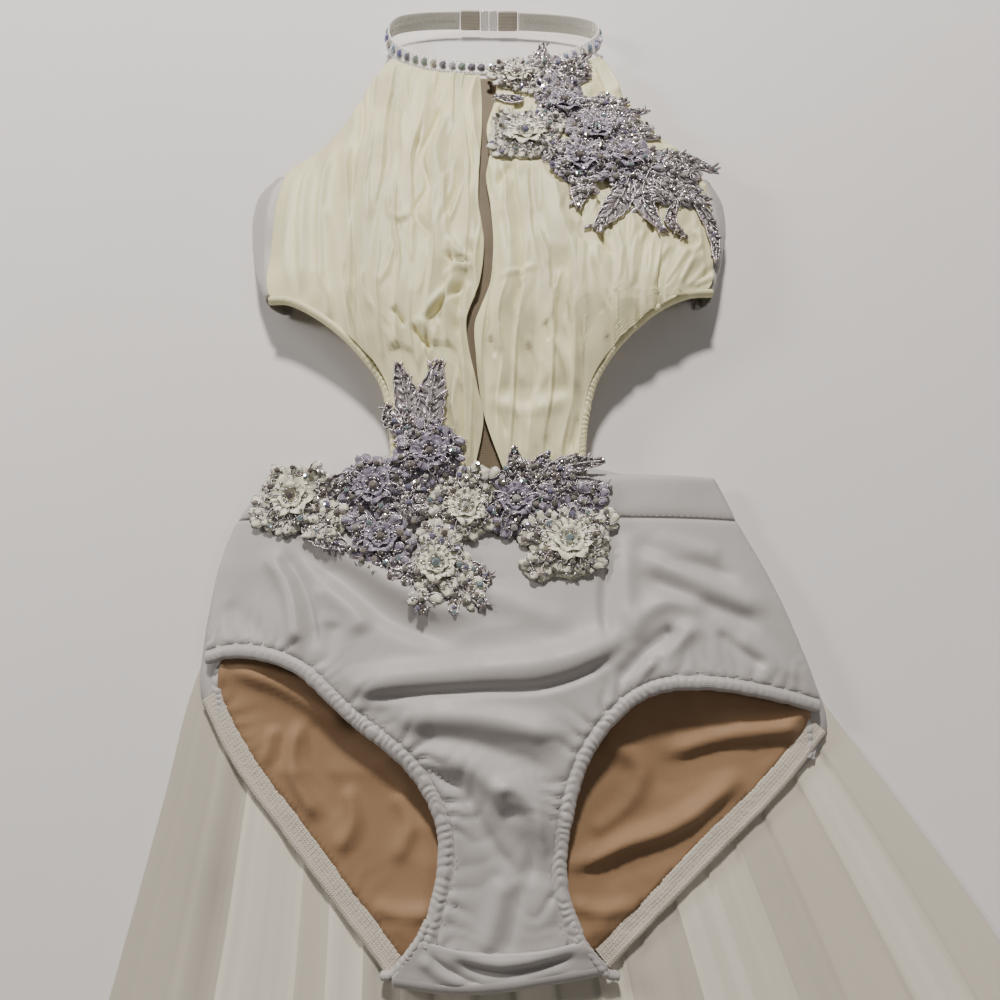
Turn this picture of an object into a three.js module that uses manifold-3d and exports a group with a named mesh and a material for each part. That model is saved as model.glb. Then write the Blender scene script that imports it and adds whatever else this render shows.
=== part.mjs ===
// Lyrical dance costume for a child, laid flat on its back: a halter leotard with cut-out waist,
// gathered chiffon bodice panels over a nude mesh insert, high briefs with a nude lining,
// lace applique with raised flowers, and a chiffon skirt sewn to the back waist.
//
// Millimetres, +Z up. The origin is on the floor under the middle of the waist seam.
// +X is the right-hand side seen from above, +Y runs from the waist to the neck.
// Each cut-and-sewn piece is its own mesh. Neighbours keep SEAM_GAP between their faces.

import * as THREE from 'three';
import Module from 'manifold-3d';
import { mergeVertices } from 'three/addons/utils/BufferGeometryUtils.js';

const wasm = await Module();
wasm.setup();

// ---------------------------------------------------------------- driving dimensions
const SEAM_GAP = 0.35; // between two pieces that are sewn together
const STRETCH_CLOTH = 1.2; // briefs, sides, waistband: spandex with its elastic
const CHIFFON_CLOTH = 1.0; // bodice panels and skirt
const MESH_CLOTH = 1.0; // nude insert and nude lining
const LACE_CLOTH = 1.0; // backing of the applique

const BODICE_GATHERS = 14; // raised gathers across one bodice panel
const GATHER_RISE = 2.2; // their height
const SKIRT_FOLDS = 14; // folds across the skirt
const SKIRT_FLAT_RISE = 1.4; // fold height where the briefs lie on the skirt
const SKIRT_HEM_RISE = 6.5; // fold height at the hem

const WAISTBAND_TOP = -6.9;
const WAISTBAND_SEAM = -29.6;
const WAISTBAND_CLOTH = 2.0; // the band is folded double

const PIPING_RADIUS = 2.1;
const LEG_CASING_WIDTH = 9.0; // gathered elastic casing of the front leg edge
const LEG_CASING_CLOTH = 2.2;
const LEG_CASING_GATHERS = 18;
const LEG_TAPE_WIDTH = 9.5; // 3/8 inch leg elastic, turned to the inside of the back
const LEG_TAPE_CLOTH = 1.6;

const BAND_WIDTH = 10.0; // halter neckband
const BAND_CLOTH = 1.5;
const CLASP_LENGTH = 10.5;
const TAB_LENGTH = 12.6;

// ---------------------------------------------------------------- colours and finishes
const finish = {
  white_spandex: { color: 0xc9c7c5, roughness: 0.55, metalness: 0 },
  ivory_chiffon: { color: 0xdcd8c6, roughness: 0.7, metalness: 0 },
  skirt_chiffon: { color: 0xd3d0c4, roughness: 0.75, metalness: 0 },
  nude_lining: { color: 0xa07d58, roughness: 0.6, metalness: 0 },
  nude_mesh: { color: 0xa38c74, roughness: 0.7, metalness: 0 },
  elastic: { color: 0xbcb6b2, roughness: 0.8, metalness: 0 },
  silver_lace: { color: 0xa7a2ac, roughness: 0.35, metalness: 0.4 },
  lavender_petal: { color: 0x9c9ab4, roughness: 0.6, metalness: 0 },
  cream_petal: { color: 0xd6d6c4, roughness: 0.6, metalness: 0 },
  clear_plastic: { color: 0xe6e6e4, roughness: 0.1, metalness: 0 },
};

// ---------------------------------------------------------------- small tools
const mix = (a, b, t) => a + (b - a) * t;
const clamp = (value, low, high) => Math.min(high, Math.max(low, value));

// Smooth value of one column of a table at key = t: cubic pieces whose slope at a row
// is that of its two neighbours.
function column(rows, key, name) {
  const slope = rows.map((row, i) => {
    const before = rows[Math.max(i - 1, 0)];
    const after = rows[Math.min(i + 1, rows.length - 1)];
    return (after[name] - before[name]) / (after[key] - before[key]);
  });
  const rising = rows[rows.length - 1][key] > rows[0][key];
  return (t) => {
    let i = 0;
    while (i < rows.length - 2 && (rising ? t > rows[i + 1][key] : t < rows[i + 1][key])) i += 1;
    const span = rows[i + 1][key] - rows[i][key];
    const s = clamp((t - rows[i][key]) / span, 0, 1);
    const start = rows[i][name];
    const end = rows[i + 1][name];
    const pull = s * (1 - s) * (1 - s) * slope[i] * span - s * s * (1 - s) * slope[i + 1] * span;
    return start * (1 + 2 * s) * (1 - s) * (1 - s) + end * s * s * (3 - 2 * s) + pull;
  };
}

const evenly = (steps) => Array.from({ length: steps + 1 }, (_, i) => i / steps);

// A closed wall between two surfaces given on the same grid, u across and v along. Each of
// across and along is a number of even steps or a list of shares.
function wall(outer, inner, acrossSteps, alongSteps) {
  const us = Array.isArray(acrossSteps) ? acrossSteps : evenly(acrossSteps);
  const vs = Array.isArray(alongSteps) ? alongSteps : evenly(alongSteps);
  const across = us.length - 1;
  const along = vs.length - 1;
  const stride = along + 1;
  const count = (across + 1) * stride;
  const points = [];
  for (const surface of [outer, inner]) {
    for (const u of us) {
      for (const v of vs) points.push(...surface(u, v));
    }
  }
  const faces = [];
  const quad = (a, b, c, d) => faces.push(a, b, c, a, c, d);
  for (let i = 0; i < across; i += 1) {
    for (let j = 0; j < along; j += 1) {
      const a = i * stride + j;
      quad(a, a + stride, a + stride + 1, a + 1);
      quad(count + a, count + a + 1, count + a + stride + 1, count + a + stride);
    }
  }
  for (let i = 0; i < across; i += 1) {
    const near = i * stride;
    const far = near + along;
    quad(near, count + near, count + near + stride, near + stride);
    quad(far, far + stride, count + far + stride, count + far);
  }
  for (let j = 0; j < along; j += 1) {
    const left = j;
    const right = across * stride + j;
    quad(left, left + 1, count + left + 1, count + left);
    quad(right, count + right, count + right + 1, right + 1);
  }
  return facingOut(points, faces);
}

// A geometry whose faces point out, whichever way its grid ran.
function facingOut(points, faces) {
  const at = (k) => new THREE.Vector3(points[3 * k], points[3 * k + 1], points[3 * k + 2]);
  let volume = 0;
  for (let f = 0; f < faces.length; f += 3) {
    volume += at(faces[f]).dot(at(faces[f + 1]).cross(at(faces[f + 2])));
  }
  if (volume < 0) {
    for (let f = 0; f < faces.length; f += 3) [faces[f], faces[f + 1]] = [faces[f + 1], faces[f]];
  }
  const geometry = new THREE.BufferGeometry();
  geometry.setAttribute('position', new THREE.Float32BufferAttribute(points, 3));
  geometry.setIndex(faces);
  return geometry;
}

// A panel between a left and a right edge, given by rows of a table from its top (v = 0) down.
// bow lifts the middle of a row in Y, low and high are the heights of its two faces, and
// shift moves a column sideways.
function panel(rows, across, along, low, high, shift = (u) => u) {
  const edges = {};
  for (const name of ['leftX', 'leftY', 'rightX', 'rightY', 'bow']) {
    edges[name] = column(rows, 'v', name);
  }
  const place = (u, v) => {
    const share = shift(u, v);
    return [
      mix(edges.leftX(v), edges.rightX(v), share),
      mix(edges.leftY(v), edges.rightY(v), share) + edges.bow(v) * 4 * share * (1 - share),
    ];
  };
  const face = (height) => (u, v) => {
    const [x, y] = place(u, v);
    return [x, y, height(x, y, u, v)];
  };
  return wall(face(high), face(low), across, along);
}

// A round closed tube along a smooth curve.
function tube(curve, radius, steps, sides) {
  const frames = curve.computeFrenetFrames(steps, false);
  const points = [];
  const faces = [];
  for (let i = 0; i <= steps; i += 1) {
    const centre = curve.getPointAt(i / steps);
    for (let k = 0; k < sides; k += 1) {
      const turn = (2 * Math.PI * k) / sides;
      const out = frames.normals[i].clone().multiplyScalar(Math.cos(turn));
      out.addScaledVector(frames.binormals[i], Math.sin(turn));
      points.push(...centre.clone().addScaledVector(out, radius(i / steps)).toArray());
    }
  }
  for (let i = 0; i < steps; i += 1) {
    for (let k = 0; k < sides; k += 1) {
      const next = (k + 1) % sides;
      const a = i * sides;
      faces.push(a + k, a + next, a + sides + next, a + k, a + sides + next, a + sides + k);
    }
  }
  const ends = [curve.getPointAt(0), curve.getPointAt(1)];
  ends.forEach((end, e) => {
    const middle = points.length / 3;
    points.push(...end.toArray());
    const ring = e * steps * sides;
    for (let k = 0; k < sides; k += 1) {
      const next = (k + 1) % sides;
      if (e === 0) faces.push(middle, ring + next, ring + k);
      else faces.push(middle, ring + k, ring + next);
    }
  });
  return facingOut(points, faces);
}

const curveThrough = (rows) => new THREE.CatmullRomCurve3(
  rows.map((row) => new THREE.Vector3(row.x, row.y, row.z ?? 0)), false, 'centripetal');

// The point at a share of a curve's length, moved aside in plan: side = +1 is to the left of
// the way the curve runs.
function aside(curve, side, distance, share) {
  const point = curve.getPointAt(share);
  const way = curve.getTangentAt(share);
  const length = Math.hypot(way.x, way.y);
  return [
    point.x - (side * way.y * distance) / length,
    point.y + (side * way.x * distance) / length,
  ];
}

// A flat strip beside a curve in plan.
function strip(curve, side, width, steps, across, low, high) {
  const place = (u, v) => aside(curve, side, width * u, v);
  const face = (height) => (u, v) => {
    const [x, y] = place(u, v);
    return [x, y, height(x, y, u, v)];
  };
  return wall(face(high), face(low), across, steps);
}

// ---------------------------------------------------------------- heights of the laid cloth
// The bodice is a low dome: half is its half width at y, edge and crown its heights.
const bodiceRows = [
  { y: 275, centre: -5, half: 68, edge: 8.2, crown: 9.4 },
  { y: 240, centre: -2, half: 80, edge: 10, crown: 13 },
  { y: 200, centre: -1, half: 104, edge: 12, crown: 19 },
  { y: 180, centre: -2, half: 123, edge: 12, crown: 22 },
  { y: 150, centre: -7, half: 136, edge: 11, crown: 24 },
  { y: 120, centre: -8, half: 133, edge: 11, crown: 25 },
  { y: 90, centre: -6, half: 124, edge: 15, crown: 24 },
  { y: 70, centre: -9, half: 86, edge: 16, crown: 22 },
  { y: 45, centre: -6, half: 58, edge: 14, crown: 19 },
  { y: 20, centre: -6, half: 49, edge: 12, crown: 15 },
  { y: -10, centre: -5, half: 47, edge: 10.6, crown: 11.4 },
];
// The front of the briefs rises off the back between its two side seams.
const briefRows = [
  { y: -5, left: -110, right: 104, edge: 4.9, crown: 10.4 },
  { y: -30, left: -130, right: 115, edge: 4.9, crown: 11 },
  { y: -60, left: -135.5, right: 130, edge: 4.9, crown: 14 },
  { y: -95, left: -136.5, right: 142, edge: 4.9, crown: 18 },
  { y: -125, left: -136, right: 143, edge: 5.5, crown: 17.5 },
  { y: -150, left: -110, right: 115, edge: 6.5, crown: 15 },
  { y: -190, left: -70, right: 72, edge: 7.5, crown: 11 },
  { y: -226, left: -60, right: 62, edge: 7.5, crown: 9.5 },
];
const bodice = {};
for (const name of ['centre', 'half', 'edge', 'crown']) bodice[name] = column(bodiceRows, 'y', name);
const brief = {};
for (const name of ['left', 'right', 'edge', 'crown']) brief[name] = column(briefRows, 'y', name);

function bodiceHeight(x, y) {
  const share = clamp(Math.abs(x - bodice.centre(y)) / bodice.half(y), 0, 1);
  return mix(bodice.crown(y), bodice.edge(y), share ** 3);
}

function briefHeight(x, y) {
  const middle = (brief.left(y) + brief.right(y)) / 2;
  const half = (brief.right(y) - brief.left(y)) / 2;
  const share = clamp(Math.abs(x - middle) / half, 0, 1);
  return mix(brief.crown(y), brief.edge(y), share ** 5);
}

// Soft ridges (rise > 0) and troughs (rise < 0), each along a bent line of three points.
function foldHeight(folds, x, y) {
  let height = 0;
  for (const fold of folds) {
    let nearest = Infinity;
    let along = 0;
    const bends = [[fold.x0, fold.y0], [fold.x1, fold.y1], [fold.x2, fold.y2]];
    for (let k = 0; k < 2; k += 1) {
      const [ax, ay] = bends[k];
      const dx = bends[k + 1][0] - ax;
      const dy = bends[k + 1][1] - ay;
      const share = clamp(((x - ax) * dx + (y - ay) * dy) / (dx * dx + dy * dy), 0, 1);
      const distance = Math.hypot(x - ax - share * dx, y - ay - share * dy);
      if (distance < nearest) {
        nearest = distance;
        along = (k + share) / 2;
      }
    }
    const fade = Math.min(1, 4 * along, 4 * (1 - along) + 0.25);
    height += fold.rise * Math.exp(-((nearest / fold.width) ** 2)) * clamp(fade, 0, 1);
  }
  return height;
}

const briefFolds = [
  { x0: -62, y0: -120, x1: -10, y1: -108, x2: 52, y2: -92, rise: 3.2, width: 9 },
  { x0: -58, y0: -126, x1: -10, y1: -115, x2: 48, y2: -102, rise: -2.4, width: 5 },
  { x0: -42, y0: -136, x1: 0, y1: -128, x2: 28, y2: -150, rise: 2.2, width: 7 },
  { x0: -34, y0: -146, x1: -6, y1: -168, x2: 14, y2: -190, rise: 2.0, width: 6 },
  { x0: -98, y0: -40, x1: -52, y1: -78, x2: -18, y2: -98, rise: -2.6, width: 6 },
  { x0: -104, y0: -42, x1: -92, y1: -66, x2: -92, y2: -92, rise: 2.4, width: 7 },
  { x0: 52, y0: -42, x1: 78, y1: -68, x2: 112, y2: -74, rise: 2.2, width: 8 },
  { x0: 50, y0: -70, x1: 60, y1: -90, x2: 52, y2: -106, rise: 2.0, width: 6 },
];
const liningFolds = [
  { x0: -112, y0: -112, x1: -84, y1: -132, x2: -72, y2: -168, rise: 2.6, width: 5 },
  { x0: -96, y0: -112, x1: -62, y1: -140, x2: -50, y2: -186, rise: 2.4, width: 6 },
  { x0: 120, y0: -126, x1: 84, y1: -134, x2: 40, y2: -144, rise: 3.0, width: 7 },
  { x0: 104, y0: -142, x1: 68, y1: -164, x2: 30, y2: -178, rise: 2.8, width: 6 },
  { x0: 66, y0: -186, x1: 48, y1: -188, x2: 30, y2: -188, rise: 1.6, width: 4 },
];

// ---------------------------------------------------------------- skirt
// Fanned out under the briefs. Its folds lean over to one side and rest flat between ridges.
const skirtRows = [
  { v: 0, leftX: -100, leftY: -13, rightX: 95, rightY: -13, bow: 17, rise: 0 },
  { v: 0.06, leftX: -110, leftY: -34, rightX: 106, rightY: -34, bow: 12, rise: 0 },
  { v: 0.2, leftX: -137, leftY: -98, rightX: 142, rightY: -107, bow: 2, rise: SKIRT_FLAT_RISE },
  { v: 0.34, leftX: -145, leftY: -155, rightX: 170, rightY: -152, bow: -8, rise: SKIRT_FLAT_RISE },
  { v: 0.48, leftX: -152, leftY: -207, rightX: 200, rightY: -202, bow: -32, rise: SKIRT_FLAT_RISE },
  { v: 0.72, leftX: -170, leftY: -330, rightX: 250, rightY: -305, bow: -50, rise: 4.2 },
  { v: 1, leftX: -196, leftY: -458, rightX: 292, rightY: -412, bow: -68, rise: SKIRT_HEM_RISE },
];
const SKIRT_ROWS = [0, 0.06, 0.2, 0.34, 0.48, 0.6, 0.72, 0.86, 1];
const skirtRise = column(skirtRows, 'v', 'rise');

// Four columns to a fold: two rest on the floor, then the cloth climbs to a ridge that leans.
const foldPattern = [0, 0, 0.55, 1];

function skirtWave(u) {
  const step = Math.round(u * SKIRT_FOLDS * 4);
  const size = 0.7 + 0.3 * Math.sin(2.3 * Math.floor(step / 4) + 1);
  return foldPattern[step % 4] * size;
}

function makeSkirt() {
  const wander = (u, v) => u + ((0.3 * Math.sin(9 * u + 3 * v) + 0.25 * Math.sin(31 * u)) * u * (1 - u) * 4) / SKIRT_FOLDS;
  const low = (x, y, u, v) => Math.max(0, skirtRise(v)) * skirtWave(u);
  const high = (x, y, u, v) => low(x, y, u, v) + CHIFFON_CLOTH;
  return panel(skirtRows, SKIRT_FOLDS * 4, SKIRT_ROWS, low, high, wander);
}

// ---------------------------------------------------------------- briefs
const BACK_LOW = CHIFFON_CLOTH + SKIRT_FLAT_RISE + SEAM_GAP; // underside of the back
const BACK_HIGH = BACK_LOW + STRETCH_CLOTH;
const LINING_LOW = BACK_HIGH + SEAM_GAP;

const backRows = [
  { v: 0, leftX: -104, leftY: -16, rightX: 98, rightY: -16, bow: 20 },
  { v: 0.08, leftX: -124, leftY: -36, rightX: 113, rightY: -36, bow: 6 },
  { v: 0.2, leftX: -134, leftY: -62, rightX: 129, rightY: -64, bow: 0 },
  { v: 0.36, leftX: -136, leftY: -96, rightX: 141, rightY: -102, bow: -6 },
  { v: 0.46, leftX: -133, leftY: -113, rightX: 144, rightY: -127, bow: -12 },
  { v: 0.62, leftX: -110, leftY: -148, rightX: 118, rightY: -153, bow: -10 },
  { v: 0.8, leftX: -79, leftY: -181, rightX: 85, rightY: -181, bow: -6 },
  { v: 1, leftX: -45, leftY: -217.4, rightX: 46, rightY: -213.5, bow: -2 },
];

// The edge of each front leg opening, from the side seam to the crotch.
const leftLegEdge = [
  { x: -132.5, y: -98 }, { x: -117, y: -96 }, { x: -92, y: -102 }, { x: -65, y: -123.5 },
  { x: -38, y: -144.5 }, { x: -26.5, y: -164 }, { x: -25.5, y: -180 }, { x: -31, y: -203 },
];
const rightLegEdge = [
  { x: 140, y: -119.5 }, { x: 123, y: -115.5 }, { x: 88, y: -110.5 }, { x: 63, y: -114 },
  { x: 40, y: -135.5 }, { x: 29, y: -166 }, { x: 27.5, y: -186 }, { x: 33, y: -203 },
];
// The edge of each back leg opening, a straight run of elastic.
const leftTapeEdge = [
  { x: -133, y: -114 }, { x: -116.5, y: -139.5 }, { x: -83.5, y: -176.5 }, { x: -45.5, y: -218.5 },
];
const rightTapeEdge = [
  { x: 143.5, y: -127.6 }, { x: 123, y: -149 }, { x: 87, y: -179.5 }, { x: 46.5, y: -214.5 },
];

const legEdges = [
  { curve: curveThrough(leftLegEdge), side: 1 },
  { curve: curveThrough(rightLegEdge), side: -1 },
];
const tapeEdges = [
  { curve: curveThrough(leftTapeEdge), side: 1 },
  { curve: curveThrough(rightTapeEdge), side: -1 },
];

// A panel that runs straight from two upper corners to the start of a pair of edges, and
// then along them, distance inside them. In each row depth drops the middle and lift raises
// all but the ends.
function panelAlong(upper, edges, distance, across, upperSteps, edgeSteps, low, high) {
  const share = upperSteps / (upperSteps + edgeSteps);
  const side = (k, v) => {
    if (v >= share) {
      return aside(edges[k].curve, edges[k].side, distance, Math.min(1, (v - share) / (1 - share)));
    }
    const start = aside(edges[k].curve, edges[k].side, distance, 0);
    const t = v / share;
    const bulge = upper.bulge[k] * 4 * t * (1 - t);
    return [mix(upper.x[k], start[0], t) + bulge, mix(upper.y[k], start[1], t)];
  };
  const bow = column(upper.bow, 'v', 'depth');
  const lift = column(upper.bow, 'v', 'lift');
  const place = (u, v) => {
    const left = side(0, v);
    const right = side(1, v);
    const arch = 4 * u * (1 - u);
    const y = mix(left[1], right[1], u) + bow(v) * arch ** 3 + lift(v) * arch ** 0.6;
    return [mix(left[0], right[0], u), y];
  };
  const face = (height) => (u, v) => {
    const [x, y] = place(u, v);
    return [x, y, height(x, y, u, v)];
  };
  return wall(face(high), face(low), across, upperSteps + edgeSteps);
}

function makeBriefBack() {
  return panel(backRows, 6, 12, () => BACK_LOW, () => BACK_HIGH);
}

function makeLining() {
  const upper = {
    x: [-110, 106],
    y: [-46, -46],
    bulge: [-4, 4],
    bow: [{ v: 0, depth: 6, lift: 0 }, { v: 0.25, depth: -4, lift: 0 }, { v: 0.6, depth: -10, lift: 0 },
      { v: 1, depth: 0, lift: 0 }],
  };
  const low = (x, y, u) => LINING_LOW + Math.min(1, 9 * u, 9 * (1 - u)) * foldHeight(liningFolds, x, y);
  const high = (x, y, u) => low(x, y, u) + MESH_CLOTH;
  return panelAlong(upper, tapeEdges, LEG_TAPE_WIDTH + SEAM_GAP, 14, 3, 11, low, high);
}

function makeBriefFront() {
  const upper = {
    x: [-126.8, 114.3],
    y: [WAISTBAND_SEAM - SEAM_GAP, WAISTBAND_SEAM - SEAM_GAP],
    bulge: [-3.5, 3],
    bow: [{ v: 0, depth: 0, lift: 0 }, { v: 0.22, depth: -3, lift: 8 }, { v: 0.3, depth: -11, lift: 5.2 },
      { v: 0.38, depth: -19, lift: 3.2 }, { v: 0.48, depth: -24, lift: 0.8 }, { v: 0.72, depth: -16, lift: 0 },
      { v: 0.88, depth: -7, lift: 0 }, { v: 1, depth: -4.2, lift: 0 }],
  };
  const low = (x, y, u) => {
    const inside = Math.min(1, 9 * u, 9 * (1 - u));
    return briefHeight(x, y) + 0.45 + inside * frontFold(x, y);
  };
  const high = (x, y, u) => low(x, y, u) + STRETCH_CLOTH;
  return panelAlong(upper, legEdges, LEG_CASING_WIDTH + 2.6 * SEAM_GAP, 16, 5, 18, low, high);
}

// The folds of the front, smoothed away where the applique holds the cloth.
const frontFold = (x, y) => foldHeight(briefFolds, x, y) * clamp((-y - 62) / 22, 0.12, 1);

function makeWaistband() {
  const rows = [
    { v: 0, leftX: -113, leftY: WAISTBAND_TOP, rightX: 105.5, rightY: WAISTBAND_TOP, bow: 0 },
    { v: 1, leftX: -126.5, leftY: WAISTBAND_SEAM, rightX: 114.2, rightY: WAISTBAND_SEAM, bow: 0 },
  ];
  const low = (x, y) => briefHeight(x, y) + 0.45;
  return panel(rows, 18, 1, low, (x, y) => low(x, y) + WAISTBAND_CLOTH);
}

// Gathered casing: a flat roll whose top is ribbed by the elastic.
function makeLegCasing({ curve, side }) {
  const low = (x, y, u) => briefHeight(x, y) + 0.5 - 0.5 * Math.sin(Math.PI * u);
  const high = (x, y, u, v) => {
    const rib = 0.4 * Math.cos(2 * Math.PI * LEG_CASING_GATHERS * v);
    return low(x, y, u) + LEG_CASING_CLOTH * (0.55 + 0.45 * Math.sin(Math.PI * u)) + rib;
  };
  return strip(curve, side, LEG_CASING_WIDTH, 2 * LEG_CASING_GATHERS, 2, low, high);
}

function makeLegTape({ curve, side }) {
  const low = () => BACK_HIGH + SEAM_GAP;
  const high = (x, y, u, v) => low() + LEG_TAPE_CLOTH + 0.2 * Math.cos(22 * Math.PI * v);
  return strip(curve, side, LEG_TAPE_WIDTH, 22, 1, low, high);
}

// The gusset comes round the fold of the crotch from the back and meets the front's seam.
function makeGusset() {
  const seam = [
    { u: 0, x: -31, y: -206.4 }, { u: 0.25, x: -15, y: -209.7 }, { u: 0.5, x: 1, y: -210.8 },
    { u: 0.75, x: 17, y: -209.7 }, { u: 1, x: 33, y: -206.6 },
  ];
  const fold = [
    { u: 0, x: -42, y: -221.5 }, { u: 0.25, x: -20, y: -224 }, { u: 0.5, x: 0, y: -223.5 },
    { u: 0.75, x: 22, y: -220.5 }, { u: 1, x: 42, y: -217.5 },
  ];
  const read = (rows, name, u) => column(rows, 'u', name)(u);
  // v runs from the seam on top, round the fold, to the back panel underneath.
  const turn = (depth) => (u, v) => {
    const middle = 6.4;
    const angle = Math.PI * clamp((v - 0.5) / 0.5, 0, 1);
    const round = middle - 3.1 - depth;
    const out = v < 0.5 ? v / 0.5 : 1;
    const x = mix(read(seam, 'x', u), read(fold, 'x', u), out);
    const edgeY = read(fold, 'y', u) + middle - 3.1;
    if (v < 0.5) {
      const y = mix(read(seam, 'y', u), edgeY, out);
      const high = mix(briefHeight(x, read(seam, 'y', u)) + 0.45 + STRETCH_CLOTH, middle + 3.3, out);
      return [x, y, high - depth];
    }
    return [x, edgeY - round * Math.sin(angle), middle + round * Math.cos(angle)];
  };
  return wall(turn(0), turn(STRETCH_CLOTH), 8, 8);
}

// ---------------------------------------------------------------- bodice
const BODICE_ROWS = [0, 0.1, 0.19, 0.28, 0.34, 0.43, 0.52, 0.62, 0.67, 0.73, 0.79, 0.86, 0.92, 1];
const leftPanelRows = [
  { v: 0, leftX: -68.5, leftY: 274, rightX: -12.4, rightY: 257.4, bow: -4.5 },
  { v: 0.1, leftX: -80, leftY: 243, rightX: -10.9, rightY: 232, bow: 0 },
  { v: 0.19, leftX: -93, leftY: 215, rightX: -10.6, rightY: 206, bow: 0 },
  { v: 0.28, leftX: -107, leftY: 192, rightX: -11.2, rightY: 182, bow: 0 },
  { v: 0.34, leftX: -121, leftY: 180, rightX: -11.8, rightY: 166, bow: 0 },
  { v: 0.43, leftX: -125, leftY: 156, rightX: -11.6, rightY: 144, bow: 0 },
  { v: 0.52, leftX: -124.5, leftY: 128, rightX: -8.6, rightY: 120, bow: 0 },
  { v: 0.62, leftX: -122, leftY: 96, rightX: -10.6, rightY: 94, bow: 0 },
  { v: 0.67, leftX: -104, leftY: 87.5, rightX: -15.4, rightY: 80, bow: 0 },
  { v: 0.73, leftX: -86.5, leftY: 76.5, rightX: -17.2, rightY: 70, bow: 0 },
  { v: 0.79, leftX: -70, leftY: 61.5, rightX: -15.6, rightY: 56, bow: 0 },
  { v: 0.86, leftX: -56.5, leftY: 43.5, rightX: -11.6, rightY: 38, bow: 0 },
  { v: 0.92, leftX: -51.3, leftY: 24, rightX: -8.2, rightY: 20, bow: 0 },
  { v: 1, leftX: -47.8, leftY: -6, rightX: -12.6, rightY: -6.4, bow: 0 },
];
const rightPanelRows = [
  { v: 0, leftX: -1.9, leftY: 257.4, rightX: 62, rightY: 275, bow: -3 },
  { v: 0.1, leftX: -3, leftY: 232, rightX: 76, rightY: 236, bow: 0 },
  { v: 0.19, leftX: -7.6, leftY: 206, rightX: 90, rightY: 208, bow: 0 },
  { v: 0.28, leftX: -5.8, leftY: 182, rightX: 105, rightY: 189, bow: 0 },
  { v: 0.34, leftX: -7.8, leftY: 166, rightX: 113, rightY: 176, bow: 0 },
  { v: 0.43, leftX: -5.2, leftY: 144, rightX: 117, rightY: 152, bow: 0 },
  { v: 0.52, leftX: -3.6, leftY: 120, rightX: 115.5, rightY: 124, bow: 0 },
  { v: 0.62, leftX: -5, leftY: 94, rightX: 109, rightY: 99.5, bow: 0 },
  { v: 0.67, leftX: -9.8, leftY: 80, rightX: 91.4, rightY: 91.1, bow: 0 },
  { v: 0.73, leftX: -12.9, leftY: 70, rightX: 74, rightY: 80, bow: 0 },
  { v: 0.79, leftX: -12.4, leftY: 56, rightX: 58.5, rightY: 64.5, bow: 0 },
  { v: 0.86, leftX: -10.7, leftY: 38, rightX: 45.5, rightY: 45.5, bow: 0 },
  { v: 0.92, leftX: -7.3, leftY: 20, rightX: 39.3, rightY: 24, bow: 0 },
  { v: 1, leftX: 2, leftY: -6.4, rightX: 36, rightY: -6, bow: 0 },
];

// Gathers run down the panel and wander sideways; they soften at the panel's edges. A column
// of the grid follows each crest and each hollow.
function makeBodicePanel(rows, phase) {
  const wander = (u, v) => {
    const sway = 0.55 * Math.sin(8 * v + 4 * u + phase) + 0.3 * Math.sin(17 * v + 9 * u + phase);
    return u + (sway * Math.min(1, 6 * u, 6 * (1 - u))) / BODICE_GATHERS;
  };
  const relief = (u, v) => {
    const step = Math.round(u * BODICE_GATHERS * 2);
    const uneven = 0.72 + 0.28 * Math.sin(2.1 * step + 5 * v + phase);
    const ends = Math.min(1, 0.45 + 6 * v, 0.6 + 5 * (1 - v));
    return step % 2 === 0 ? 0.12 : GATHER_RISE * uneven * ends;
  };
  const low = (x, y) => bodiceHeight(x, y);
  const high = (x, y, u, v) => low(x, y) + CHIFFON_CLOTH + relief(u, v);
  return panel(rows, BODICE_GATHERS * 2, BODICE_ROWS, low, high, wander);
}

function makeInsert() {
  const overlap = 5.5; // how far it runs in under each panel
  const rows = leftPanelRows.map((left, i) => ({
    v: left.v,
    leftX: left.rightX - overlap,
    leftY: left.rightY - 0.3,
    rightX: rightPanelRows[i].leftX + overlap,
    rightY: left.rightY - 0.3,
    bow: 0,
  }));
  const high = (x, y) => bodiceHeight(x, y) - SEAM_GAP;
  return panel(rows, 2, BODICE_ROWS, (x, y) => high(x, y) - MESH_CLOTH, high);
}

// Piping along the lower edge of each bodice panel, from the underarm to the waist.
const leftPiping = [
  { x: -121, y: 89 }, { x: -110.5, y: 87.5 }, { x: -90, y: 75.5 }, { x: -72, y: 58.8 },
  { x: -59.5, y: 42 }, { x: -54.3, y: 24 }, { x: -50.8, y: -5.8 },
];
const rightPiping = [
  { x: 112, y: 94 }, { x: 99.5, y: 91.5 }, { x: 80.5, y: 81.5 }, { x: 61, y: 63.5 },
  { x: 48.2, y: 44 }, { x: 42.3, y: 23 }, { x: 39, y: -5.8 },
];
function makePiping(rows) {
  const raised = rows.map((row) => ({ ...row, z: bodiceHeight(row.x, row.y) + 0.7 }));
  return tube(curveThrough(raised), () => PIPING_RADIUS, 20, 6);
}

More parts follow.
